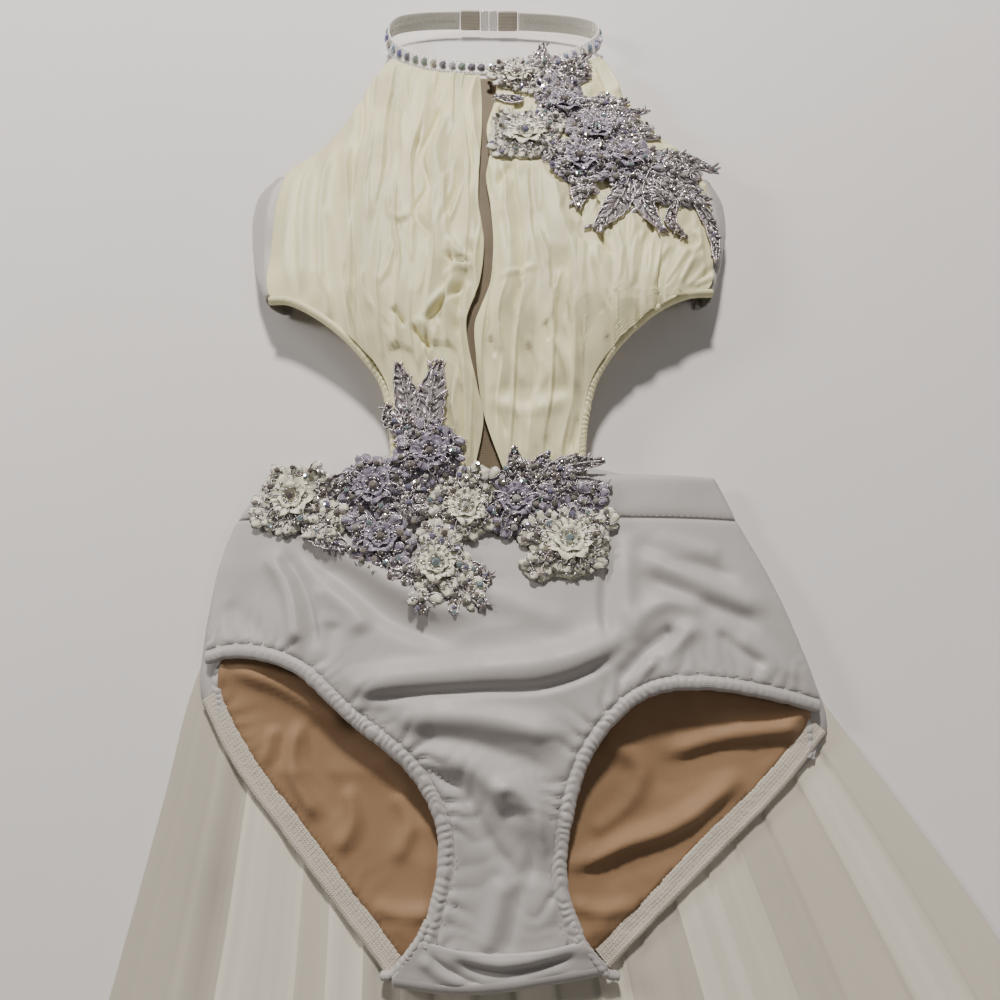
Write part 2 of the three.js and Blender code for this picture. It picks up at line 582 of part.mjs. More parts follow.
// Each side is a piece of spandex that comes from under the chiffon, turns down round the
// underarm and runs in on the floor to the back band. reach is how far it bulges, top and in
// are the two ends of the turn.
const leftSideRows = [
  { v: 0, y: 176, topX: -122.2, reach: 10, bottomX: -120 },
  { v: 0.2, y: 164, topX: -124.4, reach: 17, bottomX: -119.6 },
  { v: 0.5, y: 142, topX: -125.1, reach: 17.5, bottomX: -119 },
  { v: 0.8, y: 112, topX: -123.6, reach: 13.5, bottomX: -116 },
  { v: 1, y: 96, topX: -122.2, reach: 7.5, bottomX: -114 },
];
const rightSideRows = [
  { v: 0, y: 173, topX: 113.9, reach: 9, bottomX: 112 },
  { v: 0.2, y: 160, topX: 116.3, reach: 12.5, bottomX: 112 },
  { v: 0.5, y: 140, topX: 117.2, reach: 12.5, bottomX: 111 },
  { v: 0.8, y: 114, topX: 113.9, reach: 8.5, bottomX: 109 },
  { v: 1, y: 100, topX: 109.2, reach: 6, bottomX: 107 },
];
const BAND_HIGH = 1.3; // top of the hidden back band, which lies on the floor
function makeSide(rows, side) {
  const read = {};
  for (const name of ['y', 'topX', 'reach', 'bottomX']) read[name] = column(rows, 'v', name);
  const surface = (inset) => (u, v) => {
    const y = read.y(v);
    const top = bodiceHeight(read.topX(v), y) + CHIFFON_CLOTH - inset;
    const bottom = inset;
    const angle = Math.PI * u;
    const middle = (top + bottom) / 2;
    const ends = mix(read.topX(v), read.bottomX(v), u);
    const bulge = (read.reach(v) - inset) * Math.sin(angle) ** 0.8;
    return [ends + side * bulge + side * 0.4, y, middle + ((top - bottom) / 2) * Math.cos(angle)];
  };
  return wall(surface(0), surface(STRETCH_CLOTH), 7, 6);
}

function makeBackBand() {
  const rows = [
    { v: 0, leftX: -119.9, leftY: 174, rightX: 111.9, rightY: 171, bow: -20 },
    { v: 0.5, leftX: -119, leftY: 142, rightX: 111, rightY: 140, bow: -5 },
    { v: 1, leftX: -114.1, leftY: 97, rightX: 107.1, rightY: 101, bow: 10 },
  ];
  return panel(rows, 8, 4, () => 0, () => BAND_HIGH);
}

// ---------------------------------------------------------------- halter neckband
// An egg-shaped loop: flat on the bodice in front, leaning up and back behind the neck.
const loop = { x: -4, y: 294, halfWidth: 67, front: 30.5, back: 17.5, backSkew: -0.03, frontSkew: 0.07 };

function bandPoint(angle, across, out) {
  const cosine = Math.cos(angle);
  const sine = Math.sin(angle);
  const power = sine > 0 ? 0.72 : 0.92;
  const x = loop.x + loop.halfWidth * Math.sign(cosine) * Math.abs(cosine) ** power;
  const depth = sine > 0 ? loop.back : loop.front;
  const turned = sine > 0 ? loop.backSkew * x : loop.frontSkew * Math.max(0, x);
  const settle = Math.min(1, 2 * Math.abs(sine));
  const y = loop.y + depth * Math.sign(sine) * Math.abs(sine) ** power + turned * settle;
  const behind = (1 + sine) / 2;
  const z = mix(11.9, 7.2, behind);
  const lean = mix(0.1, 0.92, behind);
  const rise = new THREE.Vector3(-0.12 * cosine, Math.cos(lean), Math.sin(lean)).normalize();
  const outward = new THREE.Vector3(cosine * 0.9, sine * Math.sin(lean), 0.25 + 0.5 * (1 - behind));
  outward.addScaledVector(rise, -outward.dot(rise)).normalize();
  const point = new THREE.Vector3(x, y, z);
  point.addScaledVector(rise, across);
  point.addScaledVector(outward, out);
  return point.toArray();
}

const BAND_START = 1.79; // where the left tab begins, just past the middle of the back
const BAND_END = 7.719;

function makeNeckband() {
  const face = (out) => (u, v) => bandPoint(mix(BAND_START, BAND_END, v), (u - 0.5) * BAND_WIDTH, out);
  return wall(face(BAND_CLOTH / 2), face(-BAND_CLOTH / 2), 1, 44);
}

function makeClaspPiece(from, length, width, thickness) {
  const geometry = new THREE.BoxGeometry(length, width, thickness);
  const middle = from + length / 2;
  const placed = new THREE.Mesh(geometry);
  placed.rotation.x = 0.92;
  const lift = loop.backSkew * middle;
  placed.position.set(middle, loop.y + loop.back + lift + 0.1, 7.2);
  return placed;
}

// ---------------------------------------------------------------- lace applique
// Height that any applique rests on: the tallest cloth under it, with its gathers and folds.
function appliqueRest(x, y) {
  const overBodice = bodiceHeight(x, y) + CHIFFON_CLOTH + GATHER_RISE;
  const overBand = 13.3;
  const overWaist = briefHeight(x, y) + 0.45 + WAISTBAND_CLOTH;
  if (y > 250) return Math.max(overBodice, overBand) + SEAM_GAP;
  if (y > 12) return overBodice + SEAM_GAP;
  return mix(overWaist, Math.max(overBodice, overWaist), clamp((y + 20) / 14, 0, 1)) + SEAM_GAP;
}

// One embroidered leaf: a pointed outline with scalloped sides, raised along its vein.
function leaf(spec) {
  const steps = 6;
  const way = Math.atan2(spec.tipY - spec.baseY, spec.tipX - spec.baseX);
  const length = Math.hypot(spec.tipX - spec.baseX, spec.tipY - spec.baseY);
  const place = (u, v, height) => {
    const body = Math.sin(Math.PI * Math.min(1, 0.12 + 0.86 * v)) ** 0.8;
    const scallop = 1 + 0.14 * Math.cos(2 * Math.PI * 3 * v);
    const bend = spec.bend * Math.sin(Math.PI * v);
    const out = (u - 0.5) * spec.width * body * scallop + bend;
    const x = spec.baseX + length * v * Math.cos(way) - out * Math.sin(way);
    const y = spec.baseY + length * v * Math.sin(way) + out * Math.cos(way);
    return [x, y, appliqueRest(x, y) + height];
  };
  const high = (u, v) => place(u, v, spec.thick * (0.65 + 0.35 * Math.sin(Math.PI * u)));
  return wall(high, (u, v) => place(u, v, 0), 2, steps);
}

// A closed round plate: place gives a point by turn, share of the radius and height. rings
// are the shares of the radius at which the top has points; the underside has its rim only.
function disc(place, thick, around, rings, rise = () => 1) {
  const points = [...place(0, 0, thick * rise(0, 0))];
  const faces = [];
  for (const v of rings) {
    for (let k = 0; k < around; k += 1) points.push(...place(k / around, v, thick * rise(k / around, v)));
  }
  const bottom = points.length / 3;
  points.push(...place(0, 0, 0));
  for (let k = 0; k < around; k += 1) points.push(...place(k / around, 1, 0));
  for (let k = 0; k < around; k += 1) {
    const next = (k + 1) % around;
    faces.push(0, 1 + k, 1 + next);
    faces.push(bottom, bottom + 1 + next, bottom + 1 + k);
    for (let r = 1; r < rings.length; r += 1) {
      const a = 1 + (r - 1) * around;
      const b = a + around;
      faces.push(a + k, b + k, b + next, a + k, b + next, a + next);
    }
    const rim = 1 + (rings.length - 1) * around;
    const under = bottom + 1;
    faces.push(rim + k, under + k, under + next, rim + k, under + next, rim + next);
  }
  return facingOut(points, faces);
}

// A round scalloped pad of lace under a flower.
function pad(spec) {
  const place = (u, v, height) => {
    const turn = 2 * Math.PI * u;
    const radius = spec.radius * v;
    const x = spec.x + radius * Math.cos(turn);
    const y = spec.y + radius * Math.sin(turn);
    return [x, y, appliqueRest(x, y) + height];
  };
  return disc(place, spec.thick, 10, [1]);
}

// A sewn-on flower: a ring of domed petals round a raised bead.
function flower(spec) {
  const petals = spec.petals;
  const place = (u, v, height) => {
    const turn = 2 * Math.PI * u + spec.turn;
    const lobe = 1 - 0.2 * (0.5 - 0.5 * Math.cos(2 * Math.PI * petals * u)) * v;
    const radius = spec.radius * lobe * v;
    const x = spec.x + radius * Math.cos(turn);
    const y = spec.y + radius * Math.sin(turn);
    return [x, y, appliqueRest(x, y) + PAD_THICK + 2 * SEAM_GAP + height];
  };
  const rise = (u, v) => {
    const petal = 0.5 + 0.5 * Math.cos(2 * Math.PI * petals * u);
    if (v === 0) return 1.1;
    if (v < 0.4) return 0.6;
    if (v < 0.8) return 0.5 + 0.5 * petal;
    return 0.3 + 0.2 * petal;
  };
  return disc(place, spec.height, petals * 4, [0.28, 0.66, 1], rise);
}

const PAD_THICK = 1.1;
const waistFlowers = [
  { name: 'cream_hip', x: -101, y: -18, radius: 16, tone: 'cream_petal', petals: 6 },
  { name: 'lavender_left', x: -61, y: -14, radius: 14, tone: 'lavender_petal', petals: 5 },
  { name: 'lavender_top', x: -34, y: 2, radius: 14, tone: 'lavender_petal', petals: 5 },
  { name: 'lavender_low', x: -56, y: -38, radius: 11.6, tone: 'lavender_petal', petals: 5 },
  { name: 'cream_middle', x: -14, y: -25, radius: 13.5, tone: 'cream_petal', petals: 6 },
  { name: 'cream_low', x: -31, y: -50, radius: 14, tone: 'cream_petal', petals: 6 },
  { name: 'lavender_right', x: 10.4, y: -19.6, radius: 12.3, tone: 'lavender_petal', petals: 5 },
  { name: 'cream_right', x: 33, y: -41, radius: 16, tone: 'cream_petal', petals: 6 },
];
const shoulderFlowers = [
  { name: 'cream_neck', x: 12, y: 252, radius: 13, tone: 'cream_petal', petals: 6 },
  { name: 'lavender_neck', x: 39, y: 232, radius: 14, tone: 'lavender_petal', petals: 5 },
  { name: 'cream_bust', x: 14, y: 202, radius: 17, tone: 'cream_petal', petals: 6 },
  { name: 'lavender_bust', x: 56, y: 206, radius: 14, tone: 'lavender_petal', petals: 5 },
  { name: 'lavender_outer', x: 45, y: 181, radius: 13, tone: 'lavender_petal', petals: 5 },
  { name: 'lavender_side', x: 74, y: 184, radius: 12, tone: 'lavender_petal', petals: 5 },
];
const waistLeaves = [
  { baseX: -38, baseY: 6, tipX: -50, tipY: 50, width: 14, bend: -3 },
  { baseX: -32, baseY: 8, tipX: -30, tipY: 47, width: 13, bend: 3 },
  { baseX: 14, baseY: -12, tipX: 50, tipY: -1, width: 11, bend: 2 },
  { baseX: 14, baseY: -18, tipX: 56, tipY: -22, width: 12, bend: 4 },
  { baseX: 8, baseY: -12, tipX: 7, tipY: 3, width: 7, bend: 0 },
  { baseX: 16, baseY: -10, tipX: 27, tipY: 2, width: 7, bend: 1 },
  { baseX: -62, baseY: -40, tipX: -42, tipY: -62, width: 10, bend: -2 },
  { baseX: -36, baseY: -54, tipX: -38, tipY: -74, width: 8, bend: 0 },
  { baseX: -28, baseY: -54, tipX: -20, tipY: -74, width: 8, bend: 0 },
  { baseX: -26, baseY: -50, tipX: -5, tipY: -62, width: 9, bend: 2 },
  { baseX: -96, baseY: -24, tipX: -74, tipY: -42, width: 11, bend: -2 },
  { baseX: -60, baseY: -12, tipX: -84, tipY: -4, width: 11, bend: 2 },
];
// Narrow stems of the same lace that tie one pad to the next.
const waistStems = [
  { baseX: -92, baseY: -18, tipX: -68, tipY: -15, width: 6, bend: 1 },
  { baseX: -55, baseY: -10, tipX: -40, tipY: -2, width: 6, bend: 0 },
  { baseX: -30, baseY: -4, tipX: -18, tipY: -20, width: 6, bend: 0 },
  { baseX: -54, baseY: -38, tipX: -31, tipY: -48, width: 7, bend: 0 },
  { baseX: -61, baseY: -16, tipX: -57, tipY: -36, width: 7, bend: 0 },
  { baseX: -30, baseY: -46, tipX: -13, tipY: -27, width: 7, bend: 0 },
  { baseX: 14, baseY: -24, tipX: 28, tipY: -37, width: 6, bend: 0 },
  { baseX: -12, baseY: -24, tipX: 9, tipY: -20, width: 7, bend: 0 },
];
const shoulderLeaves = [
  { baseX: 30, baseY: 246, tipX: 25, tipY: 276, width: 12, bend: 2 },
  { baseX: 38, baseY: 240, tipX: 52, tipY: 268, width: 13, bend: 2 },
  { baseX: 46, baseY: 226, tipX: 78, tipY: 232, width: 13, bend: -2 },
  { baseX: 62, baseY: 206, tipX: 90, tipY: 216, width: 11, bend: 3 },
  { baseX: 78, baseY: 188, tipX: 118, tipY: 178, width: 12, bend: 3 },
  { baseX: 76, baseY: 184, tipX: 104, tipY: 158, width: 11, bend: 2 },
  { baseX: 100, baseY: 164, tipX: 119, tipY: 124, width: 8, bend: 3 },
  { baseX: 72, baseY: 182, tipX: 92, tipY: 146, width: 10, bend: -3 },
  { baseX: 68, baseY: 178, tipX: 52, tipY: 143, width: 11, bend: 2 },
  { baseX: 46, baseY: 178, tipX: 42, tipY: 158, width: 8, bend: 0 },
  { baseX: 20, baseY: 208, tipX: 40, tipY: 222, width: 9, bend: 0 },
  { baseX: 6, baseY: 246, tipX: 34, tipY: 240, width: 10, bend: 0 },
];
const shoulderStems = [
  { baseX: 46, baseY: 184, tipX: 54, tipY: 202, width: 6, bend: 0 },
  { baseX: 60, baseY: 200, tipX: 71, tipY: 187, width: 6, bend: 0 },
];

// Joins overlapping pieces of lace into one body.
function joined(pieces) {
  let body = null;
  for (const geometry of pieces) {
    geometry.deleteAttribute('normal');
    geometry.deleteAttribute('uv');
    const merged = mergeVertices(geometry, 1e-4);
    const mesh = new wasm.Mesh({
      numProp: 3,
      vertProperties: new Float32Array(merged.attributes.position.array),
      triVerts: new Uint32Array(merged.index.array),
    });
    const solid = new wasm.Manifold(mesh);
    body = body ? body.add(solid) : solid;
  }
  const result = body.simplify(0.06).getMesh();
  const geometry = new THREE.BufferGeometry();
  geometry.setAttribute('position', new THREE.BufferAttribute(result.vertProperties, 3));
  geometry.setIndex(new THREE.BufferAttribute(result.triVerts, 1));
  return geometry;
}

function makeLace(flowers, leaves) {
  const pads = flowers.map((spec, i) => pad({ ...spec, thick: PAD_THICK - 0.06 * (i % 3) }));
  const blades = leaves.map((spec, i) => leaf({ ...spec, thick: LACE_CLOTH - 0.07 - 0.06 * (i % 3) }));
  return joined([...pads, ...blades]);
}

// ---------------------------------------------------------------- assembly
const costume = new THREE.Group();
costume.name = 'lyrical_dance_costume';

function add(name, shape, look) {
  const mesh = shape.isMesh ? shape : new THREE.Mesh(shape);
  mesh.name = name;
  mesh.material = new THREE.MeshStandardMaterial(finish[look]);
  costume.add(mesh);
}

add('skirt', makeSkirt(), 'skirt_chiffon');
add('brief_back', makeBriefBack(), 'white_spandex');
add('brief_lining', makeLining(), 'nude_lining');
add('brief_front', makeBriefFront(), 'white_spandex');
add('waistband', makeWaistband(), 'white_spandex');
add('leg_casing_left', makeLegCasing(legEdges[0]), 'white_spandex');
add('leg_casing_right', makeLegCasing(legEdges[1]), 'white_spandex');
add('leg_tape_left', makeLegTape(tapeEdges[0]), 'elastic');
add('leg_tape_right', makeLegTape(tapeEdges[1]), 'elastic');
add('gusset', makeGusset(), 'white_spandex');
add('bodice_left', makeBodicePanel(leftPanelRows, 0.4), 'ivory_chiffon');
add('bodice_right', makeBodicePanel(rightPanelRows, 2.1), 'ivory_chiffon');
add('nude_insert', makeInsert(), 'nude_mesh');
add('piping_left', makePiping(leftPiping), 'ivory_chiffon');
add('piping_right', makePiping(rightPiping), 'ivory_chiffon');
add('side_left', makeSide(leftSideRows, -1), 'white_spandex');
add('side_right', makeSide(rightSideRows, 1), 'white_spandex');
add('back_band', makeBackBand(), 'white_spandex');
add('neckband', makeNeckband(), 'elastic');
add('neck_tab_left', makeClaspPiece(-25.6, TAB_LENGTH, BAND_WIDTH + 1, 2.4), 'elastic');
add('clasp_hook', makeClaspPiece(-12.6, CLASP_LENGTH / 2, BAND_WIDTH + 1, 1.8), 'clear_plastic');
add('clasp_eye', makeClaspPiece(-7, CLASP_LENGTH / 2, BAND_WIDTH + 1, 1.8), 'clear_plastic');
add('neck_tab_right', makeClaspPiece(-1.4, TAB_LENGTH, BAND_WIDTH + 1, 2.4), 'elastic');
add('lace_waist', makeLace(waistFlowers, [...waistLeaves, ...waistStems]), 'silver_lace');
add('lace_shoulder', makeLace(shoulderFlowers, [...shoulderLeaves, ...shoulderStems]), 'silver_lace');
[...waistFlowers, ...shoulderFlowers].forEach((spec, i) => {
  add(`flower_${spec.name}`, flower({ ...spec, height: 5.5, turn: i * 0.9 }), spec.tone);
});

export default costume;
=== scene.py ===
"""Lyrical dance costume for a child, laid flat on its back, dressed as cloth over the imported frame.

Shapes are worked out in millimetres with numpy and written in metres. The origin is on the floor
under the middle of the waist seam; +X is the right-hand side seen from above, +Y runs to the neck.
"""
import math

import bpy
import numpy as np
from bpy.props import FloatProperty, FloatVectorProperty, PointerProperty
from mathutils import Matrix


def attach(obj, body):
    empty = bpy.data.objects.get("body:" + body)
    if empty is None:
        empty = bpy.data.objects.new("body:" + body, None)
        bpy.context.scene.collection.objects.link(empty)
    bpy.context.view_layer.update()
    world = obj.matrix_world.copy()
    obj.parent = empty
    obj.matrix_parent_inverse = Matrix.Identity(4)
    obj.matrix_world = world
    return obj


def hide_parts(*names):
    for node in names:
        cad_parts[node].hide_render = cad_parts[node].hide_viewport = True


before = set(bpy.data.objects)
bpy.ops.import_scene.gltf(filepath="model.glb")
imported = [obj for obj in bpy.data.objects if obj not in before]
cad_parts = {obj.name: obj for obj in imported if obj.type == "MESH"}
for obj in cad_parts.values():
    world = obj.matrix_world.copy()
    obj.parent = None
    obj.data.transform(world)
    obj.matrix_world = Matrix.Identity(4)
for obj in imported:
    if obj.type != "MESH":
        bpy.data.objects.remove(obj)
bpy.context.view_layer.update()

bl_info = {
    "name": "Lyrical dance costume",
    "version": (1, 0, 0),
    "blender": (4, 5, 0),
    "location": "View3D > Sidebar > Costume",
    "description": "Halter leotard with gathered chiffon bodice, beaded applique and chiffon skirt",
    "category": "Add Mesh",
}

BODY = "root"
MM = 0.001


def linear(code):
    """The linear colour of an sRGB hex code, by the sRGB curve."""
    share = np.array([int(code[k:k + 2], 16) for k in (0, 2, 4)]) / 255
    light = np.where(share <= 0.04045, share / 12.92, ((share + 0.055) / 1.055) ** 2.4)
    return tuple(float(value) for value in light)


# ------------------------------------------------------------------ sizes and colours
def length_size(name, description, millimetres):
    return FloatProperty(name=name, description=description, default=millimetres * MM, unit="LENGTH", min=0)


def colour_choice(name, description, code):
    return FloatVectorProperty(name=name, description=description, subtype="COLOR", size=3,
                               min=0, max=1, default=linear(code))


class CostumeSizes(bpy.types.PropertyGroup):
    chiffon: length_size("Chiffon", "Thickness of the chiffon with its lining", 0.6)
    stretch: length_size("Stretch cloth", "Thickness of the briefs' stretch cloth", 1.0)
    gather: length_size("Gather depth", "Height of the bodice's gathers", 2.2)
    band_width: length_size("Neckband width", "Width of the halter neckband", 10.0)
    tape_width: length_size("Leg elastic", "Width of the elastic round the back of the leg", 9.5)
    neck_stone: length_size("Neck crystal", "Diameter of the crystals on the neckband", 5.5)
    stone_pitch: length_size("Crystal spacing", "Distance between crystals on the neckband", 6.0)
    bead: length_size("Bead", "Diameter of the applique's beads", 1.9)


class CostumeColours(bpy.types.PropertyGroup):
    chiffon: colour_choice("Bodice chiffon", "Ivory of the gathered panels", "efe8b9")
    skirt: colour_choice("Skirt chiffon", "Off-white of the skirt", "d6cebe")
    spandex: colour_choice("White spandex", "Cool white of the briefs", "b2adaa")
    lining: colour_choice("Nude lining", "Tan of the lining", "927354")
    mesh: colour_choice("Nude mesh", "Tan of the centre insert", "776851")
    elastic: colour_choice("Elastic", "Off-white of the knitted elastic", "cec4b5")
    lavender: colour_choice("Lavender petals", "Organza of the lavender flowers", "8d8496")
    cream: colour_choice("Cream petals", "Organza of the cream flowers", "e9e5cd")
    cord: colour_choice("Silver cord", "Metallic cord of the lace", "b7aeb1")


# ------------------------------------------------------------------ curves, tables, noise
def table(names, *rows):
    """Rows of a table with named columns."""
    return [dict(zip(names.split(), row)) for row in rows]


def column(rows, key, name):
    """One column of a table as a smooth function of another: cubic pieces whose slope at a row
    is that between the rows on either side."""
    keys = np.array([row[key] for row in rows], float)
    values = np.array([row[name] for row in rows], float)
    if keys[0] > keys[-1]:
        keys, values = keys[::-1], values[::-1]
    last = len(keys) - 1
    ahead = np.minimum(np.arange(last + 1) + 1, last)
    behind = np.maximum(np.arange(last + 1) - 1, 0)
    slope = (values[ahead] - values[behind]) / (keys[ahead] - keys[behind])

    def read(t):
        t = np.asarray(t, float)
        i = np.clip(np.searchsorted(keys, t) - 1, 0, last - 1)
        span = keys[i + 1] - keys[i]
        s = np.clip((t - keys[i]) / span, 0, 1)
        ends = values[i] * (1 + 2 * s) * (1 - s) ** 2 + values[i + 1] * s * s * (3 - 2 * s)
        return ends + (s * (1 - s) ** 2 * slope[i] - s * s * (1 - s) * slope[i + 1]) * span
    return read


def mix(a, b, share):
    return a + (b - a) * share


def step(low, high, value):
    """Smooth step from 0 at low to 1 at high."""
    share = np.clip((value - low) / (high - low), 0, 1)
    return share * share * (3 - 2 * share)


def curve_through(route, count):
    """Evenly spaced points of the centripetal Catmull-Rom curve through a route's points."""
    given = np.array(route, float)
    given = np.vstack([2 * given[0] - given[1], given, 2 * given[-1] - given[-2]])
    t = np.linspace(0, 1, 30, endpoint=False)[:, None]
    pieces = []
    for a, b, c, d in zip(given[:-3], given[1:-2], given[2:-1], given[3:]):
        before, between, after = (np.linalg.norm(q - p) ** 0.5 for p, q in ((a, b), (b, c), (c, d)))
        start = ((b - a) / before - (c - a) / (before + between) + (c - b) / between) * between
        end = ((c - b) / between - (d - b) / (between + after) + (d - c) / after) * between
        pieces.append(b + start * t + (3 * (c - b) - 2 * start - end) * t ** 2
                      + (2 * (b - c) + start + end) * t ** 3)
    dense = np.vstack(pieces + [given[-2:-1]])
    arc = np.concatenate([[0], np.cumsum(np.linalg.norm(np.diff(dense, axis=0), axis=1))])
    wanted = np.linspace(0, arc[-1], count)
    return np.column_stack([np.interp(wanted, arc, dense[:, k]) for k in range(dense.shape[1])])


def path_length(path):
    """Distance along a path at each of its points."""
    return np.concatenate([[0], np.cumsum(np.linalg.norm(np.diff(path, axis=0), axis=1))])


def sideways(path):
    """Unit vectors in plan, to the left of the way a path runs."""
    way = np.gradient(path[:, :2], axis=0)
    way /= np.linalg.norm(way, axis=1, keepdims=True)
    return np.column_stack([-way[:, 1], way[:, 0]])


def grain(x, y, seed):
    """Value noise from -1 to 1: random heights at whole numbers, joined by smooth steps."""
    heights = np.random.default_rng(seed).uniform(-1, 1, (64, 64))
    i, j = np.floor(x).astype(int), np.floor(y).astype(int)
    s, t = x - i, y - j
    s, t = s * s * (3 - 2 * s), t * t * (3 - 2 * t)
    near = mix(heights[i % 64, j % 64], heights[(i + 1) % 64, j % 64], s)
    far = mix(heights[i % 64, (j + 1) % 64], heights[(i + 1) % 64, (j + 1) % 64], s)
    return mix(near, far, t)


def ridges(x, y, seed, sharp=3.0):
    """Sharp crests along the lines where value noise passes through zero, from 0 to 1."""
    return (1 - np.abs(grain(x, y, seed))) ** sharp


def nearest(x, y, line):
    """Distance of each point to a line of straight pieces, the share of the line's pieces passed
    there, whether the point lies on the line's left, and the nearest place itself."""
    distance = np.full(x.shape, np.inf)
    along, left = np.zeros_like(x), np.zeros(x.shape, bool)
    foot_x, foot_y = np.zeros_like(x), np.zeros_like(x)
    for k in range(len(line) - 1):
        ax, ay = line[k]
        dx, dy = line[k + 1] - line[k]
        share = np.clip(((x - ax) * dx + (y - ay) * dy) / (dx * dx + dy * dy + 1e-12), 0, 1)
        px, py = ax + share * dx, ay + share * dy
        gap = np.hypot(x - px, y - py)
        closer = gap < distance
        distance = np.where(closer, gap, distance)
        along = np.where(closer, (k + share) / (len(line) - 1), along)
        left = np.where(closer, dx * (y - py) - dy * (x - px) > 0, left)
        foot_x, foot_y = np.where(closer, px, foot_x), np.where(closer, py, foot_y)
    return distance, along, left, foot_x, foot_y


def creases(x, y, rows):
    """Soft ridges and troughs. Each row is (rise, width, lean, route): the height is rise times a
    bell of the distance to a smooth line, lean times as wide on the line's left as on its right,
    and it fades out over the last fifth at either end."""
    height = np.zeros_like(x)
    for rise, width, lean, route in rows:
        distance, along, left, _, _ = nearest(x, y, curve_through(route, 26))
        reach = np.where(left, width * lean, width)
        fade = step(0, 0.2, along) * step(0, 0.2, 1 - along)
        height += rise * fade * np.exp(-((distance / reach) ** 2))
    return height


def encloses(outline, x, y):
    """Whether points lie inside a closed outline: a level ray from them crosses it an odd number
    of times."""
    inside = np.zeros(x.shape, bool)
    for (ax, ay), (bx, by) in zip(outline, np.roll(outline, -1, axis=0)):
        crossed = (ay > y) != (by > y)
        inside ^= crossed & (x < ax + (y - ay) * (bx - ax) / (by - ay + 1e-12))
    return inside


# ------------------------------------------------------------------ meshes
def grid(across, along):
    """Shares of the width and of the length at the points of a grid."""
    return np.meshgrid(np.linspace(0, 1, across + 1), np.linspace(0, 1, along + 1), indexing="ij")


def place(*parts):
    return np.stack(np.broadcast_arrays(*parts), axis=-1)


def grid_quads(rows, columns):
    """Four corners of each cell of a grid whose points are numbered row by row."""
    a = (np.arange(rows - 1)[:, None] * columns + np.arange(columns - 1)).ravel()
    return np.column_stack([a, a + columns, a + columns + 1, a + 1])


def shell(face, thickness, along_normals=False):
    """A closed thin wall. Its outer side is the grid of points; its inner side is the same grid
    moved down, or in along the grid's normals, by the thickness; a rim joins the two."""
    rows, columns = face.shape[:2]
    normal = np.cross(np.gradient(face, axis=0), np.gradient(face, axis=1))
    normal /= np.linalg.norm(normal, axis=2, keepdims=True) + 1e-12
    turned = along_normals is False and normal[..., 2].mean() < 0
    way = normal if along_normals else np.array([0.0, 0.0, 1.0])
    inner = face - way * np.asarray(thickness)
    count = rows * columns
    index = np.arange(count).reshape(rows, columns)
    quads = grid_quads(rows, columns)
    rims = []
    for line, forward in ((index[:, 0], False), (index[:, -1], True), (index[0], True), (index[-1], False)):
        near, far = (line[:-1], line[1:]) if forward else (line[1:], line[:-1])
        rims.append(np.column_stack([near, far, far + count, near + count]))
    faces = np.vstack([quads, quads[:, ::-1] + count] + rims)
    if turned:
        faces = faces[:, ::-1]
    return np.vstack([face.reshape(-1, 3), inner.reshape(-1, 3)]), [faces]


def trimmed_shell(outline, spacing, height_of, thickness):
    """A closed thin wall over a flat outline: the cells of an even grid whose middles lie inside
    it, their outermost points drawn to the outline, with a height at each point. The inner side
    is the same moved down by the thickness. Returns the form and the places in plan."""
    low, high = outline.min(axis=0), outline.max(axis=0)
    counts = np.ceil((high - low) / spacing).astype(int) + 1
    xs = low[0] + spacing * (np.arange(counts[0] + 1) - 0.5)
    ys = low[1] + spacing * (np.arange(counts[1] + 1) - 0.5)
    inside = encloses(outline, *np.meshgrid(xs[:-1] + spacing / 2, ys[:-1] + spacing / 2, indexing="ij"))
    index = np.arange(len(xs) * len(ys)).reshape(len(xs), len(ys))
    quads = np.stack([index[:-1, :-1], index[1:, :-1], index[1:, 1:], index[:-1, 1:]], axis=-1)[inside]
    x, y = (part.ravel().copy() for part in np.meshgrid(xs, ys, indexing="ij"))
    uses = np.bincount(quads.ravel(), minlength=index.size)
    rim = (uses > 0) & (uses < 4)
    _, _, _, x[rim], y[rim] = nearest(x[rim], y[rim], np.vstack([outline, outline[:1]]))
    kept, quads = np.unique(quads, return_inverse=True)
    quads = quads.reshape(-1, 4)
    x, y = x[kept], y[kept]
    count = len(kept)
    edges = np.stack([quads, np.roll(quads, -1, axis=1)], axis=-1).reshape(-1, 2)
    alone = ~np.isin(edges[:, 0] * count + edges[:, 1], edges[:, 1] * count + edges[:, 0])
    a, b = edges[alone].T
    faces = np.vstack([quads, quads[:, ::-1] + count, np.column_stack([b, a, a + count, b + count])])
    top = place(x, y, height_of(x, y))
    return (np.vstack([top, top - [0, 0, thickness]]), [faces]), x, y


def rolled(rings):
    """A closed tube through rings of points, the same number in each, with a flat cap of
    triangles at either end. The rings run with their points anticlockwise about the way on."""
    count, sides = rings.shape[:2]
    a = np.arange((count - 1) * sides).reshape(count - 1, sides)
    b = np.roll(a, -1, axis=1)
    quads = np.stack([a, b, b + sides, a + sides], axis=-1).reshape(-1, 4)
    ring = np.arange(sides)
    following = np.roll(ring, -1)
    last = (count - 1) * sides
    first_cap = np.column_stack([following, ring, np.full(sides, count * sides)])
    last_cap = np.column_stack([ring, following, np.full(sides, count * sides + 1 - last)]) + last
    points = np.vstack([rings.reshape(-1, 3), rings[0].mean(axis=0), rings[-1].mean(axis=0)])
    return points, [quads, np.vstack([first_cap, last_cap])]


